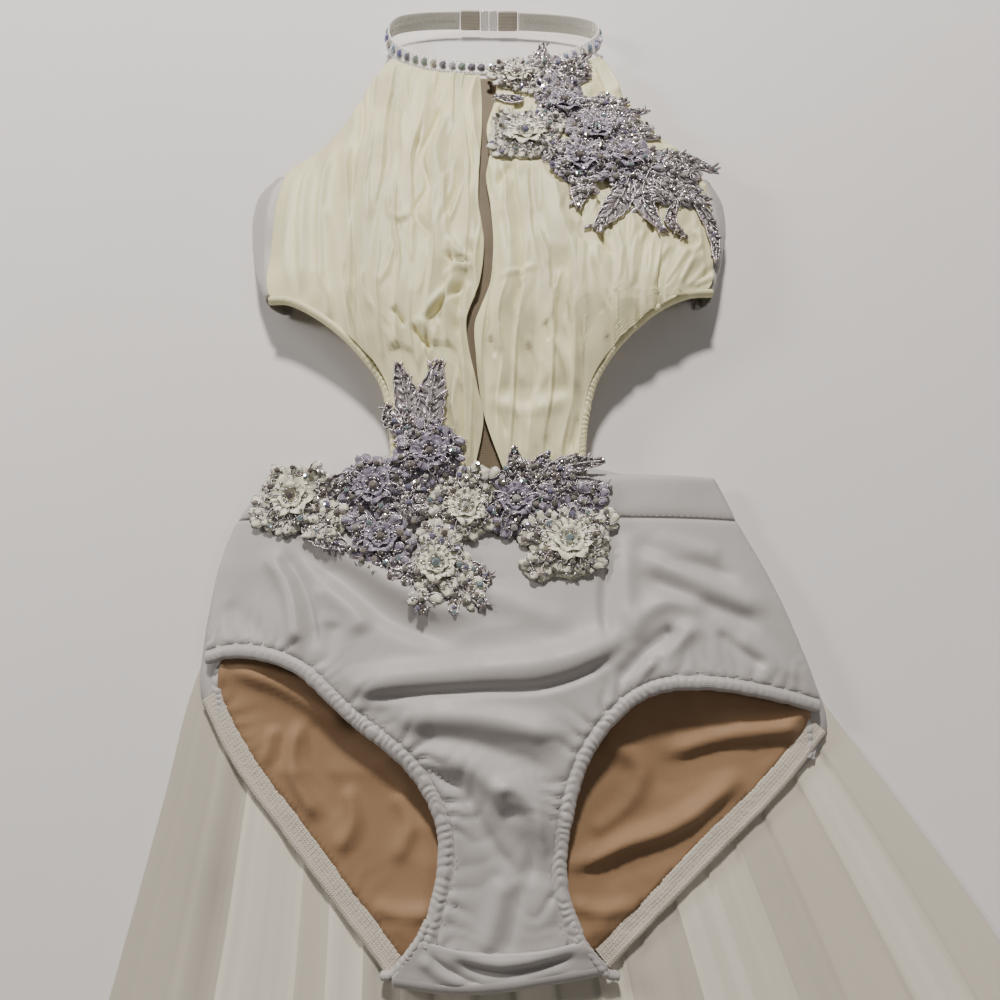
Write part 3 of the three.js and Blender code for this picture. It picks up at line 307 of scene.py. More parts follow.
def cord(path, radius, sides):
    """A closed tube of round rings along a path that stays off the vertical."""
    way = np.gradient(path, axis=0)
    way /= np.linalg.norm(way, axis=1, keepdims=True)
    across = np.cross(way, [0.0, 0.0, 1.0])
    across /= np.linalg.norm(across, axis=1, keepdims=True)
    upward = np.cross(across, way)
    turn = np.linspace(0, 2 * np.pi, sides, endpoint=False)
    reach = np.broadcast_to(np.asarray(radius, float), (sides, len(path))).T[..., None]
    ring = across[:, None] * np.cos(turn)[None, :, None] + upward[:, None] * np.sin(turn)[None, :, None]
    return rolled((path[:, None] + ring * reach)[:, ::-1])


def ruched_cord(path, radius, pitch, depth, seed, sides=18):
    """A round roll whose casing is drawn in across it every pitch or so: each gather has a round
    crest and a sharp valley, and its depth and lean change along the roll and round it."""
    run = path_length(path)[None]
    around = np.linspace(0, 1, sides, endpoint=False)[:, None]
    phase = (run / pitch + 0.55 * grain(run / (2.3 * pitch), around * 4, seed)
             + 0.25 * np.sin(2 * np.pi * around + run / 7))
    gather = np.abs(np.sin(np.pi * phase)) ** 0.6
    uneven = 0.65 + 0.5 * grain(run / (1.4 * pitch), around * 4 + 9, seed + 1)
    return cord(path, radius + depth * (gather - 0.6) * uneven, sides)


def merge(forms):
    """Several forms as one, their faces renumbered."""
    points, faces, start = [], [], 0
    for form_points, form_faces in forms:
        points.append(form_points)
        faces += [part + start for part in form_faces]
        start += len(form_points)
    return np.vstack(points), faces


def scatter(form, places, frames, sizes):
    """Copies of a small form: its points are stretched by sizes, turned by frames, whose columns
    are the form's own axes, and moved to places."""
    points, faces = form
    copies = len(places)
    spread = np.einsum("nij,nkj->nki", frames, points[None] * sizes[:, None, :]) + places[:, None, :]
    start = (np.arange(copies) * len(points))[:, None, None]
    return spread.reshape(-1, 3), [(part[None] + start).reshape(-1, part.shape[1]) for part in faces]


def lying(spin, tilt, toward):
    """Frames of things that lie flat, turned by spin about the vertical and then tipped by tilt
    about the level line square to the direction toward."""
    zero, one = np.zeros_like(spin), np.ones_like(spin)
    about = np.stack([place(np.cos(spin), -np.sin(spin), zero), place(np.sin(spin), np.cos(spin), zero),
                      place(zero, zero, one)], axis=1)
    axis_x, axis_y = -np.sin(toward), np.cos(toward)
    c, s = np.cos(tilt), np.sin(tilt)
    tip = np.empty((len(spin), 3, 3))
    tip[:, 0] = place(c + axis_x ** 2 * (1 - c), axis_x * axis_y * (1 - c), axis_y * s)
    tip[:, 1] = place(axis_x * axis_y * (1 - c), c + axis_y ** 2 * (1 - c), -axis_x * s)
    tip[:, 2] = place(-axis_y * s, axis_x * s, c)
    return tip @ about


def put(name, form, material, uv=None, smooth=True, replaces=()):
    """Writes a form, in millimetres, as a mesh object in metres that rides on the costume."""
    points, faces = form
    mesh = bpy.data.meshes.new(name)
    mesh.from_pydata((points * MM).tolist(), [], [face for part in faces for face in part.tolist()])
    mesh.polygons.foreach_set("use_smooth", np.full(len(mesh.polygons), smooth))
    if uv is not None:
        corner = np.empty(len(mesh.loops), np.int32)
        mesh.loops.foreach_get("vertex_index", corner)
        layer = mesh.uv_layers.new(name="cloth")
        layer.data.foreach_set("uv", (uv[corner] * MM).astype(np.float32).ravel())
    mesh.materials.append(material)
    mesh.update()
    piece = bpy.data.objects.new(name, mesh)
    bpy.context.scene.collection.objects.link(piece)
    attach(piece, BODY)
    if replaces:
        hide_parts(*replaces)
    return piece


def on_both_sides(across, along):
    """Flat places of a shell's points: the same on its outer and its inner side."""
    flat = place(across, along).reshape(-1, 2)
    return np.vstack([flat, flat])


# ------------------------------------------------------------------ materials
def plug(tree, socket, value):
    """Link a socket to another one, or set its value."""
    if isinstance(value, bpy.types.NodeSocket):
        tree.links.new(value, socket)
    else:
        socket.default_value = value


def add_node(tree, kind, settings=None, **inputs):
    """Adds a node with its settings. An input is a value or another node's output socket;
    underscores in its name stand for spaces, and input_0 is its first input."""
    made = tree.nodes.new(kind)
    for key, value in (settings or {}).items():
        setattr(made, key, value)
    for key, value in inputs.items():
        socket = made.inputs[int(key[6:])] if key.startswith("input_") else made.inputs[key.replace("_", " ")]
        plug(tree, socket, value)
    return made


def new_material(name, **finish):
    """A material whose shader has the given settings; underscores stand for spaces."""
    material = bpy.data.materials.new(name)
    material.use_nodes = True
    tree = material.node_tree
    shader = tree.nodes["Principled BSDF"]
    for key, value in finish.items():
        shader.inputs[key.replace("_", " ")].default_value = value
    return material, tree, shader


def opaque(code):
    """A hex code as a linear colour with its alpha."""
    return linear(code) + (1.0,)


def shade(colour, factor):
    return tuple(min(1.0, value * factor) for value in colour[:3]) + (1.0,)


def speckle(tree, vector, size, detail=2.0, roughness=0.5):
    """Noise whose spots are about size millimetres wide."""
    return add_node(tree, "ShaderNodeTexNoise", Vector=vector, Scale=1 / (size * MM), Detail=detail,
                    Roughness=roughness).outputs["Fac"]


def one_way(tree, vector, letter):
    """One coordinate of a place."""
    return add_node(tree, "ShaderNodeSeparateXYZ", Vector=vector).outputs[letter]


def bands(tree, vector, pitch, direction="X", distortion=0.0):
    """Parallel bands pitch millimetres apart."""
    return add_node(tree, "ShaderNodeTexWave",
                    {"bands_direction": direction, "wave_profile": "SIN"}, Vector=vector,
                    Scale=math.pi / (10 * pitch * MM), Distortion=distortion,
                    Detail=1.0, Detail_Scale=0.6).outputs["Fac"]


def blend(tree, share, first, second):
    """The first colour where share is 0 and the second where it is 1."""
    made = add_node(tree, "ShaderNodeMix", {"data_type": "RGBA", "blend_type": "MIX"}, Factor=share)
    for socket, value in ((made.inputs[6], first), (made.inputs[7], second)):
        plug(tree, socket, value)
    return made.outputs[2]


def spread(tree, value, low, high, to_low=0.0, to_high=1.0):
    return add_node(tree, "ShaderNodeMapRange", Value=value, From_Min=low, From_Max=high,
                    To_Min=to_low, To_Max=to_high).outputs["Result"]


def sums(tree, operation, first, second):
    return add_node(tree, "ShaderNodeMath", {"operation": operation}, input_0=first,
                    input_1=second).outputs[0]


def crossed(tree, vector, pitch):
    """A plain weave: bands both ways, pitch millimetres apart."""
    return sums(tree, "MULTIPLY", bands(tree, vector, pitch, "X"), bands(tree, vector, pitch, "Y"))


def stepped(tree, share, rows):
    """Colours that change at once; each row is the place where one starts, and the colour."""
    ramp = add_node(tree, "ShaderNodeValToRGB", Fac=share)
    ramp.color_ramp.interpolation = "CONSTANT"
    stops = ramp.color_ramp.elements
    while len(stops) < len(rows):
        stops.new(0.5)
    for k, (position, colour) in enumerate(rows):
        stops[k].position = position
        stops[k].color = colour
    return ramp.outputs["Color"]


def raise_by(tree, shader, height, depth, strength=1.0):
    """Bump of a height pattern, depth millimetres from its lowest to its highest."""
    bump = add_node(tree, "ShaderNodeBump", Height=height, Distance=depth * MM, Strength=strength)
    tree.links.new(bump.outputs["Normal"], shader.inputs["Normal"])


def object_place(tree):
    return add_node(tree, "ShaderNodeTexCoord").outputs["Object"]


def cloth_place(tree):
    return add_node(tree, "ShaderNodeTexCoord").outputs["UV"]


def woven_chiffon(name, colour, tone):
    # Satin-backed crepe chiffon over a lining: softly sheeny. Whole gathered strips are painted greyer by
    # tone: partly the whiter look where pleats lie double, partly painted shade on strips turned from the
    # light. Its 0.3 mm threads are drawn 0.9 mm apart so that they show.
    material, tree, shader = new_material(name, Roughness=0.5, Sheen_Weight=0.25, Sheen_Roughness=0.4,
                                          IOR=1.46)
    flat, room = cloth_place(tree), object_place(tree)
    across = one_way(tree, flat, "X")
    strip = sums(tree, "FLOOR", sums(tree, "DIVIDE", across, STRIP * MM), 0.0)
    along = one_way(tree, flat, "Y")
    own = add_node(tree, "ShaderNodeCombineXYZ", X=sums(tree, "MULTIPLY", strip, 3.7),
                   Y=sums(tree, "DIVIDE", along, 55 * MM)).outputs["Vector"]
    doubled_and_shaded_strips = add_node(tree, "ShaderNodeTexNoise", {"noise_dimensions": "2D"}, Scale=1.0, Detail=1.0,
                      Vector=own).outputs["Fac"]
    cloud = speckle(tree, room, 34.0, 3.0)
    base = blend(tree, spread(tree, cloud, 0.35, 0.65), shade(colour, 0.95), shade(colour, 1.04))
    # painted shade: gathered strips darkened towards tone, partly the real greyer look of single chiffon
    base = blend(tree, spread(tree, doubled_and_shaded_strips, 0.42, 0.58, 0.0, 0.8), base, shade(colour, tone))
    tree.links.new(base, shader.inputs["Base Color"])
    weave = crossed(tree, flat, 0.9)
    crepe = sums(tree, "ADD", weave, speckle(tree, room, 1.6, 2.0))
    raise_by(tree, shader, crepe, 0.08, 0.4)
    return material


def skirt_chiffon(name, colour):
    # Single chiffon laid in folds. Each fold's edge starts a new tone: partly the whiter look where one fold
    # lies over the next, partly painted shade and light on the folds; within a fold, broad soft bands of
    # painted shade.
    material, tree, shader = new_material(name, Roughness=0.7, Sheen_Weight=0.2, Sheen_Roughness=0.5,
                                          IOR=1.46)
    flat, room = cloth_place(tree), object_place(tree)
    across = one_way(tree, flat, "X")
    # painted shade and light: a tone for each fold, partly the whiter look of doubled chiffon
    fold_tones_and_shade = stepped(tree, sums(tree, "DIVIDE", across, SKIRT_UV[0] * MM),
                      [(row["u"], shade(colour, 1 + 2.3 * (row["tone"] - 1))) for row in SKIRT_EDGES])
    # painted shade: broad soft darker bands across each fold
    soft = add_node(tree, "ShaderNodeTexNoise", {"noise_dimensions": "1D"}, Scale=1 / (9 * MM), Detail=2.0,
                    W=across).outputs["Fac"]
    base = blend(tree, spread(tree, soft, 0.3, 0.7, 0.0, 0.4), fold_tones_and_shade,
                 shade(colour, 0.86))
    base = blend(tree, spread(tree, speckle(tree, room, 40.0), 0.3, 0.7, 0.0, 0.3), base, shade(colour, 0.95))
    tree.links.new(base, shader.inputs["Base Color"])
    weave = crossed(tree, flat, 0.9)
    raise_by(tree, shader, weave, 0.06, 0.3)
    return material


def knitted_spandex(name, colour, sheen, dull=0.0):
    # Brushed nylon-spandex tricot: smooth with a soft sheen, 0.35 mm wales drawn 0.8 mm apart.
    material, tree, shader = new_material(name, Roughness=0.5, Sheen_Weight=sheen, Sheen_Roughness=0.35,
                                          IOR=1.5)
    flat, room = cloth_place(tree), object_place(tree)
    cloud = speckle(tree, room, 42.0, 3.0)
    base = blend(tree, spread(tree, cloud, 0.35, 0.65), shade(colour, 0.95), shade(colour, 1.03))
    tree.links.new(base, shader.inputs["Base Color"])
    wales = sums(tree, "ADD", bands(tree, flat, 0.8, "X"), speckle(tree, room, 0.9))
    raise_by(tree, shader, wales, 0.06, 0.45)
    rough = spread(tree, speckle(tree, room, 12.0), 0.3, 0.7, 0.46 + dull, 0.60 + dull)
    tree.links.new(rough, shader.inputs["Roughness"])
    return material


def sheer_mesh(name, colour):
    # Nude power mesh over skin-tone lining: matt, with open 1.2 mm holes that look darker.
    material, tree, shader = new_material(name, Roughness=0.72, Sheen_Weight=0.12, IOR=1.48)
    flat, room = cloth_place(tree), object_place(tree)
    holes = crossed(tree, flat, 1.2)
    cloud = spread(tree, speckle(tree, room, 22.0, 3.0), 0.3, 0.7)
    base = blend(tree, cloud, shade(colour, 0.82), shade(colour, 1.06))
    base = blend(tree, spread(tree, holes, 0.3, 1.0, 0.0, 0.3), base, shade(colour, 0.6))
    tree.links.new(base, shader.inputs["Base Color"])
    raise_by(tree, shader, holes, -0.12, 0.6)
    return material


def knitted_elastic(name, colour):
    # Warp-knitted polyester elastic: crosswise ribs of cord 1 mm apart over lengthwise chains.
    material, tree, shader = new_material(name, Roughness=0.78, Sheen_Weight=0.15, IOR=1.48)
    flat, room = cloth_place(tree), object_place(tree)
    ribs = bands(tree, flat, 1.0, "Y", distortion=1.4)
    chains = bands(tree, flat, 1.3, "X", distortion=1.2)
    knit = sums(tree, "MULTIPLY", ribs, chains)
    base = blend(tree, knit, shade(colour, 0.82), shade(colour, 1.05))
    tree.links.new(base, shader.inputs["Base Color"])
    raise_by(tree, shader, sums(tree, "ADD", knit, speckle(tree, room, 0.8)), 0.22, 0.7)
    return material


def band_cloth(name, colour, width):
    # Neckband: white satin-finish spandex outside, grey brushed elastic on the inside face, painted nearly
    # as light as the outside to stand in for light the inner face does not get.
    material, tree, shader = new_material(name, Roughness=0.5, Sheen_Weight=0.15, IOR=1.5)
    flat, room = cloth_place(tree), object_place(tree)
    across = one_way(tree, flat, "X")
    inside = sums(tree, "GREATER_THAN", across, width * 1.02 * MM)
    # painted light: the inner face's elastic colour lightened to stand in for light it does not get
    inner_elastic_and_light = blend(tree, bands(tree, flat, 1.1, "Y", distortion=0.5), shade(linear("e4e2d6"), 0.95),
                 shade(linear("e4e2d6"), 1.1))
    white = blend(tree, speckle(tree, room, 9.0), shade(colour, 0.97), shade(colour, 1.05))
    tree.links.new(blend(tree, inside, white, inner_elastic_and_light), shader.inputs["Base Color"])
    ribs = sums(tree, "ADD", bands(tree, flat, 1.1, "Y"), speckle(tree, room, 0.9))
    raise_by(tree, shader, ribs, 0.08, 0.5)
    return material


def organza_petal(name, colour):
    # Heat-set organza: crisp and slightly glassy, with pleats of yarn running from the heart out.
    material, tree, shader = new_material(name, Roughness=0.38, Sheen_Weight=0.3, Sheen_Roughness=0.3,
                                          IOR=1.5)
    flat, room = cloth_place(tree), object_place(tree)
    outward = one_way(tree, flat, "Y")
    # painted shade: petals darker towards the heart, where they lie under one another
    base = blend(tree, spread(tree, outward, 0.0, 6 * MM), shade(colour, 0.62), shade(colour, 1.12))
    base = blend(tree, spread(tree, speckle(tree, room, 3.0, 3.0), 0.35, 0.65, 0.0, 0.5), base,
                 shade(colour, 0.86))
    tree.links.new(base, shader.inputs["Base Color"])
    raise_by(tree, shader, sums(tree, "ADD", bands(tree, flat, 1.2, "X", distortion=1.5),
                                speckle(tree, room, 0.8)), 0.12, 0.6)
    return material


def lace_net(name, colour):
    # Nylon net under the embroidery: greyed by its holes, with lighter metal yarn here and there whose
    # glints are painted in as bright spots.
    material, tree, shader = new_material(name, Roughness=0.6, Metallic=0.1, Sheen_Weight=0.25)
    room = object_place(tree)
    # painted highlight: bright spots for glinting metal yarn, partly the yarn's own lighter colour
    yarn_and_glints = spread(tree, speckle(tree, room, 0.9, 3.0, 0.7), 0.52, 0.62)
    base = blend(tree, yarn_and_glints, shade(colour, 0.68), shade(colour, 1.05))
    tree.links.new(base, shader.inputs["Base Color"])
    raise_by(tree, shader, speckle(tree, room, 0.8, 2.0), 0.4, 0.9)
    return material


def metallic_cord(name, colour, pitch):
    # Metallised yarn wound round a core: bright where its turns catch the light, dark between.
    material, tree, shader = new_material(name, Roughness=0.34, Metallic=0.6, Coat_Weight=0.4)
    room = object_place(tree)
    turns = bands(tree, room, pitch, "DIAGONAL", distortion=3.0)
    base = blend(tree, turns, shade(colour, 0.72), shade(colour, 1.12))
    tree.links.new(base, shader.inputs["Base Color"])
    raise_by(tree, shader, turns, 0.12, 0.7)
    return material


def foiled_crystal(name, tints, metal):
    # Foil-backed glass with a rainbow coat: each stone shows one of a few cool or smoky tints.
    material, tree, shader = new_material(name, Roughness=0.08, Metallic=metal, Coat_Weight=1.0,
                                          Coat_Roughness=0.03)
    tint = one_way(tree, cloth_place(tree), "X")
    tinted_by = stepped(tree, sums(tree, "MULTIPLY", tint, 1 / MM),
                        [(k / len(tints), opaque(code)) for k, code in enumerate(tints)])
    tree.links.new(tinted_by, shader.inputs["Base Color"])
    return material


def silvered_bead(name):
    # Silver-lined glass seed beads: a bright soft mirror under a clear skin.
    material, tree, shader = new_material(name, Roughness=0.16, Metallic=0.75, Coat_Weight=0.8)
    tint = one_way(tree, cloth_place(tree), "X")
    base = blend(tree, sums(tree, "MULTIPLY", tint, 1 / MM), opaque("b5afb8"), opaque("f0eadf"))
    tree.links.new(base, shader.inputs["Base Color"])
    return material


def clear_nylon(name):
    # Moulded clear nylon: glassy with a faint haze and flow marks.
    material, tree, shader = new_material(name, Roughness=0.14, IOR=1.5, Transmission_Weight=0.55,
                                          Coat_Weight=0.4)
    haze = speckle(tree, object_place(tree), 3.0, 3.0)
    tree.links.new(blend(tree, haze, opaque("d8d6d2"), opaque("f0eeeb")),
                   shader.inputs["Base Color"])
    return material


def spun_thread(name, colour):
    # Spun polyester sewing thread: two plies whose twist shows as slanting bands.
    material, tree, shader = new_material(name, Roughness=0.7, Sheen_Weight=0.2)
    twist = bands(tree, object_place(tree), 0.8, "DIAGONAL")
    tree.links.new(blend(tree, twist, shade(colour, 0.85), shade(colour, 1.05)), shader.inputs["Base Color"])
    return material


def painted_board(name):
    # Matt painted board under the costume: pale and even, with only the faintest mottle.
    material, tree, shader = new_material(name, Roughness=0.7)
    mottle = speckle(tree, object_place(tree), 60.0, 3.0)
    tree.links.new(blend(tree, mottle, opaque("e2dedd"), opaque("e6e2e1")),
                   shader.inputs["Base Color"])
    return material


MATERIALS = {}


def material_of(key, build):
    """Each material is made once and shared."""
    if key not in MATERIALS:
        MATERIALS[key] = build()
    return MATERIALS[key]


def chiffon_look(colours):
    return material_of("chiffon", lambda: woven_chiffon("crepe_chiffon", colours.chiffon, 0.82))


def spandex_look(colours):
    return material_of("spandex", lambda: knitted_spandex("white_spandex_tricot", colours.spandex, 0.18))


def lining_look(colours):
    return material_of("lining", lambda: knitted_spandex("nude_lining_tricot", colours.lining, 0.15, 0.22))


def elastic_look(colours):
    return material_of("elastic", lambda: knitted_elastic("knitted_elastic", colours.elastic))


def thread_look(colours):
    return material_of("thread", lambda: spun_thread("spun_thread", colours.elastic))


# ------------------------------------------------------------------ heights of the laid cloth
BODICE_DOME = table(
    "y centre half edge crown",
    (275, -5, 68, 8.2, 9.4), (240, -2, 80, 10, 13), (200, -1, 104, 12, 19), (180, -2, 123, 12, 22),
    (150, -7, 136, 11, 24), (120, -8, 133, 11, 25), (90, -6, 124, 15, 24), (70, -9, 86, 16, 22),
    (45, -6, 58, 14, 19), (20, -6, 49, 12, 15), (-10, -5, 47, 10.6, 11.4))
BRIEF_DOME = table(
    "y left right edge crown",
    (-5, -110, 104, 4.9, 10.4), (-30, -130, 115, 4.9, 11), (-60, -135.5, 130, 4.9, 14),
    (-95, -136.5, 142, 4.9, 18), (-125, -136, 143, 5.5, 17.5), (-150, -110, 115, 6.5, 15),
    (-190, -70, 72, 7.5, 11), (-226, -60, 62, 7.5, 9.5))
dome = {name: column(BODICE_DOME, "y", name) for name in ("centre", "half", "edge", "crown")}
rise = {name: column(BRIEF_DOME, "y", name) for name in ("left", "right", "edge", "crown")}


def bodice_height(x, y):
    """Crown in the middle of a row, falling with the cube of the share out to its edge."""
    share = np.clip(np.abs(x - dome["centre"](y)) / dome["half"](y), 0, 1)
    return mix(dome["crown"](y), dome["edge"](y), share ** 3)


def brief_height(x, y):
    """Nearly flat across a row, falling with the fifth power of the share out to its edge."""
    middle = (rise["left"](y) + rise["right"](y)) / 2
    half = (rise["right"](y) - rise["left"](y)) / 2
    share = np.clip(np.abs(x - middle) / half, 0, 1)
    return mix(rise["crown"](y), rise["edge"](y), share ** 5)


def panel_place(rows, u, v):
    """Plan of a panel: straight across between its left and right edges, lifted by its bow."""
    left_x, left_y, right_x, right_y, bow = (
        column(rows, "v", name)(v) for name in ("leftX", "leftY", "rightX", "rightY", "bow"))
    return mix(left_x, right_x, u), mix(left_y, right_y, u) + bow * 4 * u * (1 - u)


# ------------------------------------------------------------------ skirt
SKIRT_ROWS = table(
    "v leftX leftY rightX rightY bow rise",
    (0, -100, -13, 95, -13, 17, 0), (0.06, -110, -34, 106, -34, 12, 0), (0.2, -137, -98, 142, -107, 2, 1.4),
    (0.34, -145, -155, 170, -152, -8, 1.4), (0.48, -152, -207, 200, -202, -32, 1.4),
    (0.72, -170, -330, 250, -305, -50, 4.2), (1, -196, -458, 292, -412, -68, 6.5))
SKIRT_CLOTH = 1.0
SKIRT_UV = (550, 510)       # millimetres that its UV runs across and along


# Where one fold's edge lies over the next, as a share of the way across; how far the edge stands
# up; and how light the cloth is painted from there on: partly the whiter look of two layers, partly painted
# shade and light on the folds.
SKIRT_EDGES = table(
    "u lift tone", (0.0, 0.0, 0.86), (0.07, 0.2, 0.82), (0.112, 1.0, 1.08), (0.196, 0.25, 0.94),
    (0.232, 0.25, 1.08), (0.274, 0.7, 0.84), (0.318, 0.4, 0.98), (0.357, 0.9, 1.12), (0.405, 0.4, 0.92),
    (0.45, 0.9, 1.10), (0.5, 0.5, 0.9), (0.548, 0.9, 1.06), (0.583, 0.4, 0.9), (0.612, 0.8, 0.88),
    (0.662, 0.9, 1.08), (0.715, 0.3, 1.02), (0.762, 1.0, 0.9), (0.815, 0.3, 0.95), (0.882, 1.0, 1.08),
    (0.94, 0.35, 0.98))


def make_skirt(sizes, colours):
    """A fan of flat folds under the briefs. From each fold's edge the cloth sinks slowly to the
    next edge, where it steps up again in a sharp line; the folds stand higher towards the hem."""
    edges = np.array([row["u"] for row in SKIRT_EDGES])
    lifts = np.array([row["lift"] for row in SKIRT_EDGES])
    ends = np.append(edges, 1.0)
    shares = np.unique(np.concatenate([np.linspace(a + 0.0012, b - 0.0012, max(4, int((b - a) * 150)))
                                       for a, b in zip(ends[:-1], ends[1:])] + [[0.0, 1.0]]))
    u, v = np.meshgrid(shares, np.linspace(0, 1, 90), indexing="ij")
    x, y = panel_place(SKIRT_ROWS, u, v)
    fold = np.clip(np.searchsorted(edges, u, side="right") - 1, 0, len(edges) - 1)
    share = (u - edges[fold]) / (ends[fold + 1] - edges[fold])
    growth = 0.9 + column(SKIRT_ROWS, "v", "rise")(v) * 0.75
    height = 1.5 * growth * lifts[fold] * (1 - share) ** 1.3
    ease = step(0, 0.04, u) * step(0, 0.04, 1 - u)
    height += growth * 0.22 * ease * (1 + grain(u * 38, v * 2.2, 3))
    height += step(0.5, 0.9, v) * 0.8 * ease * (1 + grain(x / 24, y / 90, 4))
    height *= step(0.02, 0.16, v) * 0.95 + 0.05
    height = np.minimum(height, 1.3 + 5 * step(0.42, 0.7, v))
    form = shell(place(x, y, height + SKIRT_CLOTH), SKIRT_CLOTH * 0.8)
    look = skirt_chiffon("loose_chiffon", colours.skirt)
    piece = put("skirt_cloth", form, look,
                on_both_sides(u * SKIRT_UV[0], v * SKIRT_UV[1]), replaces=("skirt",))


# ------------------------------------------------------------------ briefs
SEAM_GAP = 0.35
BACK_LOW = 2.75
LINING_LOW = 4.3
WAISTBAND_TOP = -6.9
WAISTBAND_SEAM = -29.6
CASING_WIDTH = 6.8
BACK_ROWS = table(
    "v leftX leftY rightX rightY bow",
    (0, -104, -16, 98, -16, 20), (0.08, -124, -36, 113, -36, 6), (0.2, -134, -62, 129, -64, 0),
    (0.36, -136, -96, 141, -102, -6), (0.46, -133, -113, 144, -127, -12), (0.62, -110, -148, 118, -153, -10),
    (0.8, -79, -181, 85, -181, -6), (1, -45, -217.4, 46, -213.5, -2))
LEG_EDGES = (
    ((-132.5, -98), (-117, -96), (-92, -102), (-65, -123.5), (-38, -144.5), (-26.5, -164), (-25.5, -180),
     (-31, -203)),
    ((140, -119.5), (123, -115.5), (88, -110.5), (63, -114), (40, -135.5), (29, -166), (27.5, -186),
     (33, -203)))
LEG_ENDS = ((-32.5, -207), (34.5, -207))
TAPE_EDGES = (
    ((-133, -114), (-116.5, -139.5), (-83.5, -176.5), (-44.0, -220)),
    ((143.5, -127.6), (123, -149), (87, -179.5), (43.5, -216.5)))
EDGE_SIDES = (1, -1)

# Creases of the front: (rise, width, lean, route), millimetres.
FRONT_CREASES = (
    (2.6, 8.5, 0.8, ((-78, -112), (-44, -107), (-12, -103), (18, -100), (44, -92), (64, -78))),
    (-1.7, 2.2, 1.0, ((-70, -116), (-38, -112.5), (-8, -110.5), (20, -109), (44, -100), (58, -88))),
    (2.6, 6.0, 1.0, ((-50, -122), (-6, -123), (30, -131))),
    (-0.8, 3.4, 1.0, ((-42, -128), (-6, -134), (26, -145))),
    (2.4, 5.0, 1.3, ((-36, -136), (-12, -142), (6, -157), (22, -176))),
    (-1.2, 2.6, 1.0, ((-34, -142), (-16, -150.5), (-6, -167), (9, -186))),
    (2.2, 3.6, 1.0, ((-6, -154), (4, -149), (17, -160), (19, -182))),
    (-1.4, 3.0, 1.0, ((-2, -160), (8, -160), (13, -172), (12, -188))),
    (-2.0, 4.0, 1.8, ((-102, -36), (-84, -52), (-66, -67), (-44, -82), (-14, -91))),
    (2.0, 6.0, 1.0, ((-94, -32), (-58, -57), (-32, -72), (-4, -79))),
    (2.4, 4.5, 1.0, ((-112, -42), (-96, -66), (-87, -98))),
    (-1.8, 3.5, 1.0, ((-104, -44), (-87, -70), (-80, -95))),
    (-1.0, 4.0, 1.0, ((-74, -80), (-78, -103))),
    (-1.5, 2.0, 1.4, ((52, -34), (48.5, -58), (46.8, -72), (47, -92))),
    (1.6, 5.0, 1.0, ((60, -33), (57.5, -60), (56, -86))),
    (2.0, 6.0, 1.0, ((64, -44), (86, -59), (124, -76))),
    (-1.6, 4.0, 1.0, ((62, -57), (86, -69), (120, -83))),
    (1.8, 4.0, 1.0, ((90, -80), (71, -95), (54, -112))),
    (-1.6, 3.2, 1.0, ((80, -81), (63, -95), (50, -109))),
    (1.2, 4.0, 1.0, ((-7, -212), (-3, -200), (2, -182))),
    (-0.8, 3.0, 1.0, ((2, -212), (5, -198), (9, -184))),
    (0.9, 6.0, 1.0, ((-20, -62), (10, -74), (34, -84))),
    (-0.7, 5.0, 1.0, ((-128, -70), (-112, -82), (-102, -96))),
    (0.8, 5.0, 1.0, ((104, -86), (118, -94), (132, -108))),
    (-1.5, 4.0, 1.0, ((60, -38), (78, -50), (98, -55), (112, -62))),
    (1.4, 5.0, 0.7, ((72, -36), (92, -44), (106, -48))),
    (-1.6, 3.0, 1.0, ((78, -82), (74, -90), (66, -101))),
    (-1.3, 2.6, 1.0, ((96, -84), (104, -92), (118, -101))),
    (1.6, 4.5, 1.0, ((58, -92), (62, -80), (74, -72), (96, -74))),
    (1.5, 5.0, 1.0, ((-60, -88), (-66, -76), (-84, -62))),
)
LINING_CREASES = (
    (2.4, 3.5, 1.0, ((-124, -99), (-99, -107), (-80, -117), (-62, -128))),
    (2.4, 3.0, 1.0, ((-88, -121), (-89, -142), (-75, -164))),
    (-1.6, 3.5, 1.0, ((-80, -122), (-80, -140), (-66, -160))),
    (1.8, 3.0, 1.0, ((-66, -148), (-62, -163), (-68, -176))),
    (1.4, 2.6, 1.0, ((-54, -194), (-40, -197), (-26, -196))),
    (2.6, 4.0, 1.0, ((138, -125), (114, -127), (93, -130), (68, -137))),
    (-1.8, 4.0, 1.0, ((134, -133), (112, -135), (90, -139), (62, -148))),
    (1.8, 4.5, 1.0, ((40, -127), (60, -142), (52, -160))),
    (3.0, 3.6, 1.0, ((106, -143), (74, -164), (50, -172), (26, -182))),
    (-2.4, 3.0, 1.0, ((110, -151), (76, -172), (50, -179), (28, -188))),
    (1.5, 2.6, 1.0, ((26, -193), (42, -196), (60, -194))),
    (1.2, 3.0, 1.0, ((56, -155), (38, -168))),
    (1.4, 2.4, 1.0, ((-99, -124), (-102, -142))),
    (1.4, 3.0, 1.0, ((-46, -150), (-38, -164), (-44, -180))),
)


def leg_line(routes, side, distance, count):
    """The edge of a leg opening as evenly spaced points, moved in by a distance."""
    line = curve_through(routes[side], count)
    return line + EDGE_SIDES[side] * sideways(line) * distance


def make_brief_back(sizes, colours):
    """The back lies flat on the skirt: a level panel with the faintest waves."""
    u, v = grid(50, 40)
    x, y = panel_place(BACK_ROWS, u, v)
    top = BACK_LOW + 1.2 + 0.06 * grain(x / 14, y / 14, 8)
    form = shell(place(x, y, top), 1.0)
    piece = put("brief_back_cloth", form, spandex_look(colours),
                on_both_sides(x + 140, y + 220), replaces=("brief_back",))


